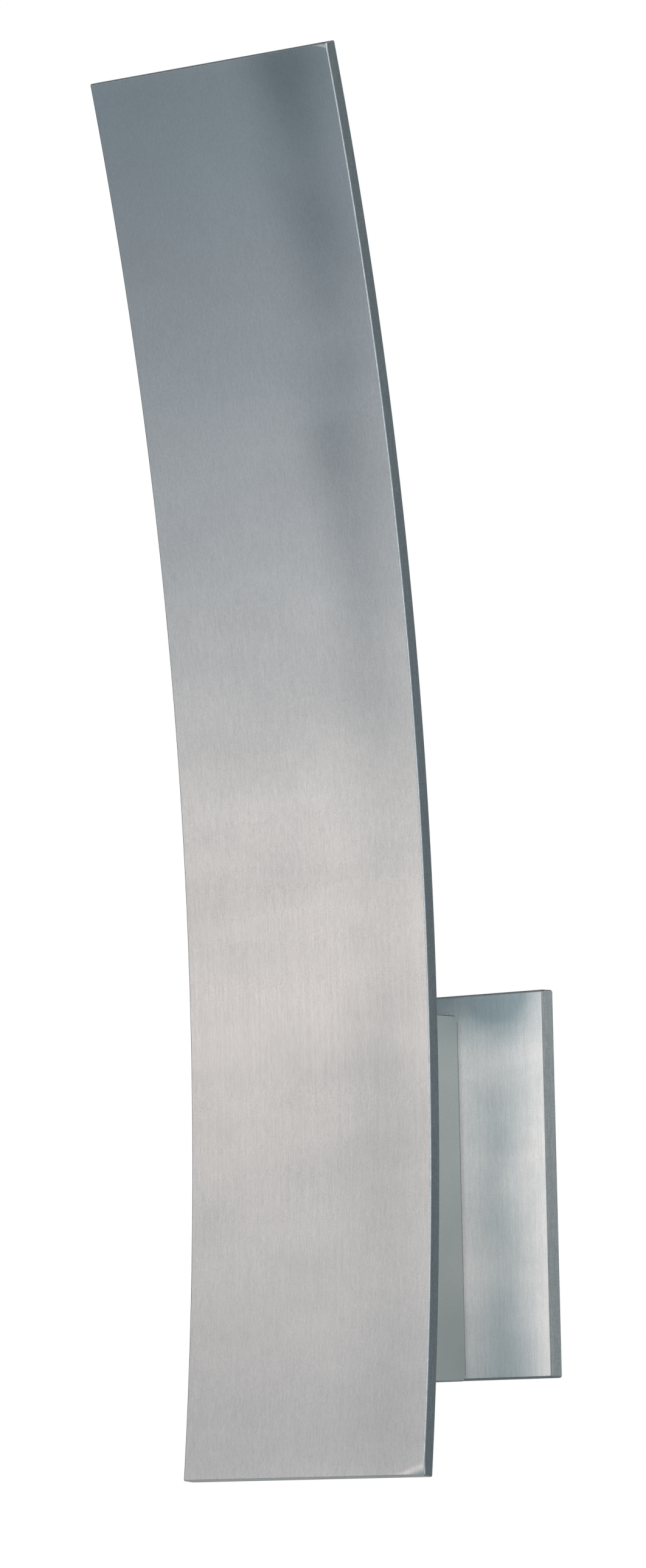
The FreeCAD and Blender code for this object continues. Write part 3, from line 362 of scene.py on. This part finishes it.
def startGrained(name, look):
    # What all the grained finishes share; some change the colour, the roughness or the bump
    material, tree, shader, place = startMaterial(name, look)
    made = useGroup(tree, grainGroup, {
        "Place": place, "Grain": look["grain"], "Colour": look["colour"],
        "Fleck Colour": look["fleck"], "Roughness": look["roughness"], "Spread": look["spread"]})
    feed(tree, shader.inputs["Base Color"], made["Colour"])
    feed(tree, shader.inputs["Roughness"], made["Roughness"])
    return material, tree, shader, place, made


def makeGrained(name, look):
    material, tree, shader, place, made = startGrained(name, look)
    addBump(tree, shader, made["Height"], look["relief"], look["strength"])
    return material


def makeCoat(name, look):
    # Painted shade: the narrow slanted edges of the box's sides and its underside are painted dark,
    # and the coat is painted darker low down
    material, tree, shader, place, made = startGrained(name, look)
    turned = splitVector(tree, surfaceNormal(tree))
    across = doMath(tree, "ABSOLUTE", turned["X"])
    shadedEdges = doMath(tree, "MULTIPLY", mapRange(tree, across, *look["slantedFrom"]),
                     mapRange(tree, across, *look["slantedTo"]))
    shadedEdges = doMath(tree, "MAXIMUM", shadedEdges, mapRange(tree, turned["Z"], *look["underneath"]))
    # Painted shade: the coat is darker towards the foot
    lowShade = mapRange(tree, splitVector(tree, place)["Z"], *look["lowShade"])
    coat = multiplyColour(tree, made["Colour"], lowShade)
    feed(tree, shader.inputs["Base Color"], mixColour(tree, shadedEdges, coat, look["edge"]))
    addBump(tree, shader, made["Height"], look["relief"], look["strength"])
    return material


def makeGalvanised(name, look):
    # Zinc spangles: flat crystals, each a little lighter or duller than the next
    material, tree, shader, place, made = startGrained(name, look)
    spangles = {"Vector": place, "Scale": 1 / look["spangle"]}
    cells = addNode(tree, "ShaderNodeTexVoronoi", spangles).outputs["Color"]
    tone = addNode(tree, "ShaderNodeSeparateColor", {0: cells}).outputs[0]
    dulled = doMath(tree, "MULTIPLY", tone, look["spangleTone"])
    feed(tree, shader.inputs["Base Color"], mixColour(tree, dulled, made["Colour"], look["dull"]))
    rougher = doMath(tree, "MULTIPLY", tone, look["spangleRoughness"])
    feed(tree, shader.inputs["Roughness"], doMath(tree, "ADD", made["Roughness"], rougher))
    addBump(tree, shader, made["Height"], look["relief"], look["strength"])
    return material


def makeBoard(name, look):
    # White mask with the copper tracks just showing through it
    material, tree, shader, place, made = startGrained(name, look)
    tracks = addNode(tree, "ShaderNodeTexBrick", {
        "Vector": place, "Scale": 1 / look["track"],
        "Mortar Size": look["trackWidth"], "Mortar Smooth": look["trackEdge"],
        "Color1": (0, 0, 0), "Color2": (0, 0, 0), "Mortar": (1, 1, 1)})
    line = addNode(tree, "ShaderNodeSeparateColor", {0: tracks.outputs["Color"]}).outputs[0]
    shown = mixColour(tree, line, made["Colour"], look["trackColour"])
    feed(tree, shader.inputs["Base Color"], shown)
    addBump(tree, shader, line, look["relief"], look["strength"])
    return material


def makePhosphor(name, look):
    # Each chip is a white case with a round yellow filling
    material, tree, shader, place, made = startGrained(name, look)
    split = splitVector(tree, place)
    squares = []
    for axis, pitch, start in zip("XY", look["pitch"], look["start"]):
        fromStart = doMath(tree, "SUBTRACT", split[axis], start)
        wrapped = addNode(tree, "ShaderNodeMath", {0: fromStart, 1: pitch / 2, 2: -pitch / 2},
                          operation="WRAP")
        squares.append(doMath(tree, "POWER", wrapped.outputs[0], 2.0))
    radius = doMath(tree, "SQRT", doMath(tree, "ADD", *squares))
    softEdge = look["filling"] * look["fillingEdge"]
    filled = mapRange(tree, radius, softEdge, look["filling"], 1.0, 0.0)
    feed(tree, shader.inputs["Base Color"], mixColour(tree, filled, look["case"], made["Colour"]))
    addBump(tree, shader, filled, look["relief"], look["strength"])
    return material


# Lengths in a look are metres, and colours are linear; relief is a bump's height

brushedPlate = {
    "colour": (0.99, 0.98, 0.97),
    "streak": (0.85, 0.84, 0.835),
    "tone": (0.42, 0.53, 0.575),  # of the painted-shade bands and rims and of the handling clouds, times the brushing
    "band": 1.4,  # strength
    "bandLine": 0.042,  # from the upright middle
    "bandWidth": 0.024,
    "cloud": 0.22,  # strength
    "cloudSize": 0.06,
    "rim": 1.0,  # strength of the painted shade along the top and the foot
    "rimLevel": 0.0844,  # half the plate's height
    "curve": 0.0,  # flat
    "vertex": 0.0,
    "side": (0.27, 0.30, 0.31),  # of the sawn edges, darkened as painted shade
    "cutHead": 1.0,
    "cutFoot": 1.0,
    "roughness": 0.6,
    "spread": 0.02,  # how far the roughness strays
    "stretch": (2500, 2500, 200),  # hairs in a metre, each way
    "lines": (0.013, 0.017, 1.0),  # which way the brushing runs
    "relief": 0.000004,
    "strength": 0.3,
    "shader": {"Metallic": 1.0, "Anisotropic": 0.9},
}
brushedBlade = {
    **brushedPlate,
    "colour": (0.55, 0.547, 0.55),
    "streak": (0.451, 0.454, 0.465),
    "tone": (0.61, 0.64, 0.655),
    "band": 0.9,
    "bandLine": 0.044,
    "bandWidth": 0.034,
    "cloudSize": 0.1,
    "rim": 0.0,
    "curve": 1 / 1.65,  # one over the radius of its bend
    "vertex": 0.0631,  # the height at which it stands upright
    "side": (0.24, 0.27, 0.285),
    "cutFoot": 0.0,
    "stretch": (2500, 2500, 260),
    "roughness": 0.31,
    "shader": {"Metallic": 1.0, "Anisotropic": 0.7},
}
spreaderLook = {
    **brushedPlate,
    "colour": (0.62, 0.62, 0.61),
    "streak": (0.52, 0.52, 0.52),
    "tone": (0.85, 0.85, 0.85),
    "rim": 0.0,
    "side": (0.5, 0.5, 0.5),
    "cutHead": 0.0,
    "cutFoot": 0.0,
    "stretch": (2600, 200, 2600),
    "lines": (0.013, 1.0, 0.017),
    "roughness": 0.4,
    "shader": {"Metallic": 1.0, "Anisotropic": 0.5},
}
housingLook = {
    "colour": (0.515, 0.56, 0.555),
    "fleck": (0.555, 0.60, 0.595),
    # painted shade on the slanted edges and the underside
    "edge": (0.13, 0.145, 0.145),
    "slantedFrom": (0.3, 0.5, 0.0, 1.0),  # ranges of the normal, across and upwards
    "slantedTo": (0.85, 0.95, 1.0, 0.0),
    "underneath": (-0.6, -0.3, 1.0, 0.0),
    "lowShade": (-0.085, 0.03, 0.8, 1.0),  # painted shade by height; 0.8 of the colour is left at the foot
    "grain": 0.0006,
    "roughness": 0.45,
    "spread": 0.06,
    "relief": 0.00002,
    "strength": 0.4,
    "shader": {"Metallic": 0.6},
}
bezelLook = {
    "colour": (0.02, 0.021, 0.022),
    "fleck": (0.032, 0.033, 0.035),
    "grain": 0.0006,
    "roughness": 0.42,
    "spread": 0.06,
    "relief": 0.00002,
    "strength": 0.3,
}
screwLook = {
    "colour": (0.56, 0.56, 0.55),
    "fleck": (0.45, 0.45, 0.45),
    "grain": 0.0004,
    "roughness": 0.3,
    "spread": 0.08,
    "relief": 0.00001,
    "strength": 0.3,
    "shader": {"Metallic": 1.0},
}
groundLook = {
    **screwLook,
    "colour": (0.03, 0.26, 0.07),
    "fleck": (0.05, 0.34, 0.1),
    "roughness": 0.35,
    "shader": {"Metallic": 0.6},
}
bracketLook = {
    "colour": (0.62, 0.63, 0.64),
    "fleck": (0.55, 0.56, 0.57),
    "dull": (0.42, 0.43, 0.45),
    "spangle": 0.006,
    "spangleTone": 0.6,
    "spangleRoughness": 0.15,
    "grain": 0.0008,
    "roughness": 0.3,
    "spread": 0.08,
    "relief": 0.000003,
    "strength": 0.3,
    "shader": {"Metallic": 1.0},
}
foamLook = {
    "colour": (0.012, 0.012, 0.013),
    "fleck": (0.035, 0.035, 0.036),
    "grain": 0.0006,
    "roughness": 0.88,
    "spread": 0.08,
    "relief": 0.0002,
    "strength": 0.8,
}
rimSealLook = {
    **foamLook,
    "colour": (0.26, 0.28, 0.28),
    "fleck": (0.32, 0.34, 0.34),
    "roughness": 0.6,
}
rubberLook = {
    "colour": (0.016, 0.016, 0.017),
    "fleck": (0.024, 0.024, 0.025),
    "grain": 0.0012,
    "roughness": 0.55,
    "spread": 0.1,
    "relief": 0.00003,
    "strength": 0.4,
}
driverLook = {
    "colour": (0.72, 0.72, 0.70),
    "fleck": (0.64, 0.64, 0.62),
    "grain": 0.0009,
    "roughness": 0.5,
    "spread": 0.08,
    "relief": 0.00004,
    "strength": 0.5,
}
connectorLook = {
    **driverLook,
    "colour": (0.74, 0.70, 0.60),
    "fleck": (0.70, 0.66, 0.56),
    "roughness": 0.42,
}
cableLook = {
    **driverLook,
    "colour": (0.55, 0.55, 0.56),
    "fleck": (0.5, 0.5, 0.51),
    "roughness": 0.45,
}
lensLook = {
    "colour": (0.95, 0.96, 0.96),
    "fleck": (0.92, 0.94, 0.94),
    "grain": 0.0005,
    "roughness": 0.3,
    "spread": 0.06,
    "relief": 0.00002,
    "strength": 0.4,
    "shader": {"Transmission Weight": 1.0, "IOR": 1.49, "Metallic": 0.0},
}
boardLook = {
    "colour": (0.80, 0.81, 0.80),
    "fleck": (0.76, 0.77, 0.76),
    "trackColour": (0.66, 0.68, 0.66),
    "track": 0.011,
    "trackWidth": 0.06,  # share of the spacing
    "trackEdge": 0.3,
    "grain": 0.0008,
    "roughness": 0.35,
    "spread": 0.05,
    "relief": 0.00005,
    "strength": 0.5,
}
phosphorLook = {
    "colour": (0.85, 0.62, 0.09),
    "fleck": (0.75, 0.52, 0.07),
    "case": (0.82, 0.82, 0.80),
    "pitch": (0.009, 0.008),
    "start": (0.0, -0.0405),  # the middle of one row of chips
    "filling": 0.0012,
    "fillingEdge": 0.93,
    "grain": 0.0004,
    "roughness": 0.35,
    "spread": 0.06,
    "relief": -0.0001,  # the filling lies lower than the case
    "strength": 0.6,
}

finishes = {
    "blade_aluminium": makeBrushed("brushedBlade", brushedBlade),
    "plate_aluminium": makeBrushed("brushedPlate", brushedPlate),
    "spreader_aluminium": makeBrushed("milledSpreader", spreaderLook),
    "housing_silver": makeCoat("silverCoat", housingLook),
    "bezel_black": makeGrained("blackBezel", bezelLook),
    "screw_steel": makeGrained("screwSteel", screwLook),
    "ground_green": makeGrained("greenScrew", groundLook),
    "bracket_steel": makeGalvanised("galvanisedSteel", bracketLook),
    "seal_foam": makeGrained("sealFoam", foamLook),
    "rim_seal": makeGrained("rimSeal", rimSealLook),
    "grommet_rubber": makeGrained("blackRubber", rubberLook),
    "driver_case": makeGrained("driverCase", driverLook),
    "connector_plastic": makeGrained("connectorNylon", connectorLook),
    "cable_jacket": makeGrained("cableJacket", cableLook),
    "lens_glass": makeGrained("frostedLens", lensLook),
    "board_white": makeBoard("boardMask", boardLook),
    "chip_phosphor": makePhosphor("chipPhosphor", phosphorLook),
}
slotWords = {  # the first of these words that is in a node's name gives its slot
    "screws": "screw_steel",
    "studs": "screw_steel",
    "washers": "screw_steel",
    "nuts": "screw_steel",
    "ground_screw": "ground_green",
    "housing_seal": "rim_seal",
    "seal": "seal_foam",
    "wall_bracket": "bracket_steel",
    "back_plate": "plate_aluminium",
    "wire_grommet": "grommet_rubber",
    "lamp_housing": "housing_silver",
    "bezel": "bezel_black",
    "blade": "blade_aluminium",
    "led_driver": "driver_case",
    "lens": "lens_glass",
    "heat_spreader": "spreader_aluminium",
    "board": "board_white",
    "chips": "chip_phosphor",
    "connector": "connector_plastic",
    "cable": "cable_jacket",
}


def slotOf(name):
    return next(slot for word, slot in slotWords.items() if word in name)


for name, node in cadNodes.items():
    for held in node.material_slots:
        held.material = finishes[slotOf(name)]
print("finishes made:", len(finishes))

# Blade: a plate rolled to one radius, its edges softened

bladePiece = {
    "width": 0.1342,
    "thick": 0.00635,
    "radius": 1.65,  # of the front face
    "standoff": 0.08094,  # wall to the back face at the vertex
    "vertex": 0.0631,
    "head": 0.4843,
    "foot": -0.1253,
    "steps": 96,
    "rounding": 0.0007,
    "roundingSteps": 5,
    "roundedFrom": 60,  # degrees between faces, from which an edge is rounded
    "smoothUpTo": 35,  # degrees
    "merge": 0.00001,
    "wornCorner": (0.010, 0.0032, 0.0006),  # along the top, down the side, into the thickness
}
platePiece = {
    "width": 0.1342,
    "thick": 0.0074,
    "height": 0.1687,
    "rounding": 0.0011,
    "roundingSteps": 5,
    "smoothUpTo": 35,
    "merge": 0.000001,
    "levelUpTo": 0.5,  # degrees between triangles that are joined to one face
    "squareFrom": 0.00165,  # inside the outline, what isn't rounded begins here
    "squareTowards": -0.99,  # a face whose normal has less Y than this is the front
    "rearTowards": 0.999,
}


def selectOnly(piece):
    bpy.ops.object.select_all(action="DESELECT")
    piece.select_set(True)
    bpy.context.view_layer.objects.active = piece


def weighNormals(piece):
    # Large faces set the shading, so that the narrow rounded edges don't bend it
    shading = piece.modifiers.new("shading", "WEIGHTED_NORMAL")
    shading.keep_sharp = True
    bpy.ops.object.modifier_apply(modifier=shading.name)


def makeBlade(values):
    backRadius = values["radius"] + values["thick"]
    middleRadius = values["radius"] + values["thick"] / 2
    centre = Vector((0, -values["standoff"] - backRadius, values["vertex"]))
    footAngle = math.asin((values["foot"] - values["vertex"]) / values["radius"])
    headAngle = math.asin((values["head"] - values["vertex"]) / values["radius"])
    outwards = Vector((0, math.cos(footAngle), math.sin(footAngle)))
    bpy.ops.object.select_all(action="DESELECT")
    bpy.ops.mesh.primitive_plane_add(size=1, location=centre + outwards * middleRadius,
                                     rotation=(footAngle, 0, 0))
    blade = bpy.context.object
    blade.name = "rolled_blade"
    blade.scale = (values["width"], values["thick"], 1)
    bpy.ops.object.transform_apply(location=True, rotation=True, scale=True)
    bpy.ops.object.mode_set(mode="EDIT")
    bpy.ops.mesh.select_all(action="SELECT")
    bpy.ops.mesh.spin(steps=values["steps"], angle=footAngle - headAngle, center=centre,
                      axis=(1, 0, 0))
    bpy.ops.mesh.select_all(action="SELECT")
    bpy.ops.mesh.remove_doubles(threshold=values["merge"])
    bpy.ops.mesh.normals_make_consistent(inside=False)
    # A file stroke has flattened the front corner at the top right
    inwards = Vector((0, -math.cos(headAngle), -math.sin(headAngle)))
    downwards = Vector((0, math.sin(headAngle), -math.cos(headAngle)))
    corner = centre - inwards * values["radius"] + Vector((values["width"] / 2, 0, 0))
    along, down, deep = values["wornCorner"]
    ends = (corner - Vector((along, 0, 0)), corner + downwards * down, corner - inwards * deep)
    slope = (ends[1] - ends[0]).cross(ends[2] - ends[0]).normalized()
    if slope.dot(corner - ends[0]) < 0:
        slope = -slope
    bpy.ops.mesh.select_all(action="SELECT")
    bpy.ops.mesh.bisect(plane_co=ends[0], plane_no=slope, use_fill=True, clear_outer=True)
    bpy.ops.object.mode_set(mode="OBJECT")
    rounding = blade.modifiers.new("rounding", "BEVEL")
    rounding.width = values["rounding"]
    rounding.segments = values["roundingSteps"]
    rounding.limit_method = "ANGLE"
    rounding.angle_limit = math.radians(values["roundedFrom"])
    bpy.ops.object.modifier_apply(modifier=rounding.name)
    bpy.ops.object.shade_smooth_by_angle(angle=math.radians(values["smoothUpTo"]))
    weighNormals(blade)
    blade.data.materials.clear()
    blade.data.materials.append(finishes["blade_aluminium"])
    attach(blade, "root")
    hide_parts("blade")
    return blade


def makePlate(values):
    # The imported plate, its outline rounded by what it shares with a rounded block
    plate = bpy.data.objects.new("rounded_plate", cadNodes["back_plate"].data.copy())
    scene.collection.objects.link(plate)
    selectOnly(plate)
    bpy.ops.object.mode_set(mode="EDIT")
    bpy.ops.mesh.select_all(action="SELECT")
    bpy.ops.mesh.remove_doubles(threshold=values["merge"])
    bpy.ops.mesh.dissolve_limited(angle_limit=math.radians(values["levelUpTo"]))
    bpy.ops.object.mode_set(mode="OBJECT")
    bpy.ops.object.select_all(action="DESELECT")
    bpy.ops.mesh.primitive_cube_add(size=1, location=(0, -values["thick"] / 2, 0))
    block = bpy.context.object
    block.scale = (values["width"], values["thick"], values["height"])
    bpy.ops.object.transform_apply(location=True, rotation=True, scale=True)
    rounding = block.modifiers.new("rounding", "BEVEL")
    rounding.width = values["rounding"]
    rounding.segments = values["roundingSteps"]
    bpy.ops.object.modifier_apply(modifier=rounding.name)
    selectOnly(plate)
    outline = plate.modifiers.new("outline", "BOOLEAN")
    outline.operation = "INTERSECT"
    outline.object = block
    bpy.ops.object.modifier_apply(modifier=outline.name)
    bpy.data.objects.remove(block)
    selectOnly(plate)
    bpy.ops.object.shade_smooth_by_angle(angle=math.radians(values["smoothUpTo"]))
    # The rear, its groove and its pocket are cut square
    insideAcross = values["width"] / 2 - values["squareFrom"]
    insideUp = values["height"] / 2 - values["squareFrom"]
    for face in plate.data.polygons:
        inside = abs(face.center.x) < insideAcross and abs(face.center.z) < insideUp
        cutSquare = inside and face.normal.y > values["squareTowards"]
        face.select = cutSquare or face.normal.y > values["rearTowards"]
    bpy.ops.object.mode_set(mode="EDIT")
    bpy.ops.mesh.faces_shade_flat()
    bpy.ops.object.mode_set(mode="OBJECT")
    weighNormals(plate)
    plate.data.materials.clear()
    plate.data.materials.append(finishes["plate_aluminium"])
    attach(plate, "root")
    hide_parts("back_plate")
    return plate


bladeMesh = makeBlade(bladePiece)
print("blade made:", len(bladeMesh.data.polygons), "faces")
plateMesh = makePlate(platePiece)
print("plate made:", len(plateMesh.data.polygons), "faces")

# Floor, cards and lamps

studio = {
    "floorLevel": -0.75,
    "floorRadius": 26.0,
    "floorSides": 128,
    "floorColour": (0.83, 0.86, 0.87),
    "floorRoughness": 0.95,
    "cardRoughness": 0.9,
    "fadeFrom": 6.0,  # from its middle, where the floor begins to turn white
    "farColour": (0.97, 0.985, 0.99),
    "mirroredColour": (0.73, 0.96, 1.12),  # of the far floor, as the metal sees it
    "skyForObject": 0.7,  # share of white that lights the object
    "lookAt": (0, -0.05, 0.15),  # what the cards and lamps face
}
cards = {
    "rearCard": {"place": (1.5, 1.75, 0.15), "size": (2.4, 2.6), "colour": (0.50, 0.56, 0.58)},
    "sideCard": {"place": (-1.5, 1.75, 0.15), "size": (2.4, 2.6), "colour": (0.2, 0.22, 0.23)},
    "leftCard": {"place": (-2.7, -1.0, 0.15), "size": (2.2, 3.0), "colour": (0.12, 0.14, 0.15)},
    "overCard": {"place": (-1.95, -2.35, 1.8), "size": (3.0, 1.8), "colour": (0.3, 0.3, 0.31)},
    "highCard": {"place": (0.3, -0.3, 2.6), "size": (4.5, 4.5), "colour": (0.4, 0.42, 0.43)},
    "lowCard": {"place": (-3.2, -4.0, -0.72), "size": (6.0, 4.6), "colour": (0.152, 0.325, 0.445),
                "turn": -0.69},  # radians, lying flat just over the floor
}
lamps = {
    "glowLamp": {"place": (-4.45, -5.4, 0.31), "size": (3.0, 0.25), "power": 7.8,
                 "colour": (1.0, 0.83, 0.70)},
    "keyLamp": {"place": (1.16, -3.2, 0.3), "size": (3.0, 2.2), "power": 30.0,
                "colour": (1.0, 0.94, 0.91)},
    "sideLamp": {"place": (1.0, -0.7, 0.6), "size": (1.2, 1.2), "power": 5.9,
                 "colour": (1.0, 1.0, 1.0)},
}
lookAt = Vector(studio["lookAt"])
unlit = bpy.data.collections.new("litBySkyAlone")


def leaveToSky(piece):
    # The lamps pass this by, so that their edges don't draw lines across it
    unlit.objects.link(piece)
    unlit.collection_objects[-1].light_linking.link_state = "EXCLUDE"


def facing(place):
    return (lookAt - place).to_track_quat("-Z", "Y").to_euler()


def mixShader(tree, factor, first, second):
    return addNode(tree, "ShaderNodeMixShader", {0: factor, 1: first, 2: second}).outputs[0]


def makeFloor(values):
    bpy.ops.object.select_all(action="DESELECT")
    bpy.ops.mesh.primitive_circle_add(vertices=values["floorSides"], radius=values["floorRadius"],
                                      fill_type="NGON", location=(0, 0, values["floorLevel"]))
    floor = bpy.context.object
    floor.name = "studio_floor"
    material, tree, shader, place = startMaterial("studioFloor", {})
    feed(tree, shader.inputs["Base Color"], values["floorColour"])
    feed(tree, shader.inputs["Roughness"], values["floorRoughness"])
    # Far off the floor runs out into the white of the sky
    reach = addNode(tree, "ShaderNodeVectorMath", {0: place}, operation="LENGTH").outputs["Value"]
    near = addNode(tree, "ShaderNodeMath", {0: values["fadeFrom"], 1: reach}, operation="DIVIDE",
                   use_clamp=True)
    fade = doMath(tree, "SUBTRACT", 1.0, near.outputs[0])
    mirrored = addNode(tree, "ShaderNodeLightPath").outputs["Is Glossy Ray"]
    far = mixColour(tree, mirrored, values["farColour"], values["mirroredColour"])
    glow = addNode(tree, "ShaderNodeEmission", {"Color": far, "Strength": 1.0}).outputs[0]
    mixed = mixShader(tree, fade, shader.outputs[0], glow)
    # Seen from underneath it is clear
    clear = addNode(tree, "ShaderNodeBsdfTransparent").outputs[0]
    under = addNode(tree, "ShaderNodeNewGeometry").outputs["Backfacing"]
    oneSided = mixShader(tree, under, mixed, clear)
    feed(tree, tree.nodes["Material Output"].inputs["Surface"], oneSided)
    floor.data.materials.append(material)
    leaveToSky(floor)


def makeCard(name, values):
    place = Vector(values["place"])
    bpy.ops.object.select_all(action="DESELECT")
    turned = (0, 0, values["turn"]) if "turn" in values else facing(place)
    bpy.ops.mesh.primitive_plane_add(size=1, location=place, rotation=turned)
    card = bpy.context.object
    card.name = name
    card.scale = (*values["size"], 1)
    material, tree, shader, _ = startMaterial(name, {})
    feed(tree, shader.inputs["Base Color"], values["colour"])
    feed(tree, shader.inputs["Roughness"], studio["cardRoughness"])
    card.data.materials.append(material)
    # Only the metal sees the cards
    card.visible_camera = False
    card.visible_diffuse = False
    card.visible_shadow = False
    leaveToSky(card)


def makeLamp(name, values):
    place = Vector(values["place"])
    data = bpy.data.lights.new(name, "AREA")
    data.shape = "RECTANGLE"
    data.size, data.size_y = values["size"]
    data.energy = values["power"]
    data.color = values["colour"]
    lamp = bpy.data.objects.new(name, data)
    lamp.location = place
    lamp.rotation_euler = facing(place)
    lamp.visible_camera = False
    lamp.light_linking.receiver_collection = unlit
    scene.collection.objects.link(lamp)


def makeSky(values):
    world = bpy.data.worlds.new("studioSky")
    scene.world = world
    world.use_nodes = True
    tree = world.node_tree
    tree.nodes.clear()
    path = addNode(tree, "ShaderNodeLightPath").outputs
    seen = doMath(tree, "MAXIMUM", path["Is Camera Ray"], path["Is Glossy Ray"])
    seen = doMath(tree, "MAXIMUM", seen, path["Is Transmission Ray"])
    strengths = (values["skyForObject"], 1.0)
    soft, white = (addNode(tree, "ShaderNodeBackground", {"Color": (1, 1, 1), "Strength": strength})
                   for strength in strengths)
    output = addNode(tree, "ShaderNodeOutputWorld")
    feed(tree, output.inputs["Surface"], mixShader(tree, seen, soft.outputs[0], white.outputs[0]))
    world.cycles.sampling_method = "NONE"


makeFloor(studio)
for name, values in cards.items():
    makeCard(name, values)
for name, values in lamps.items():
    makeLamp(name, values)
makeSky(studio)
print("studio lit")
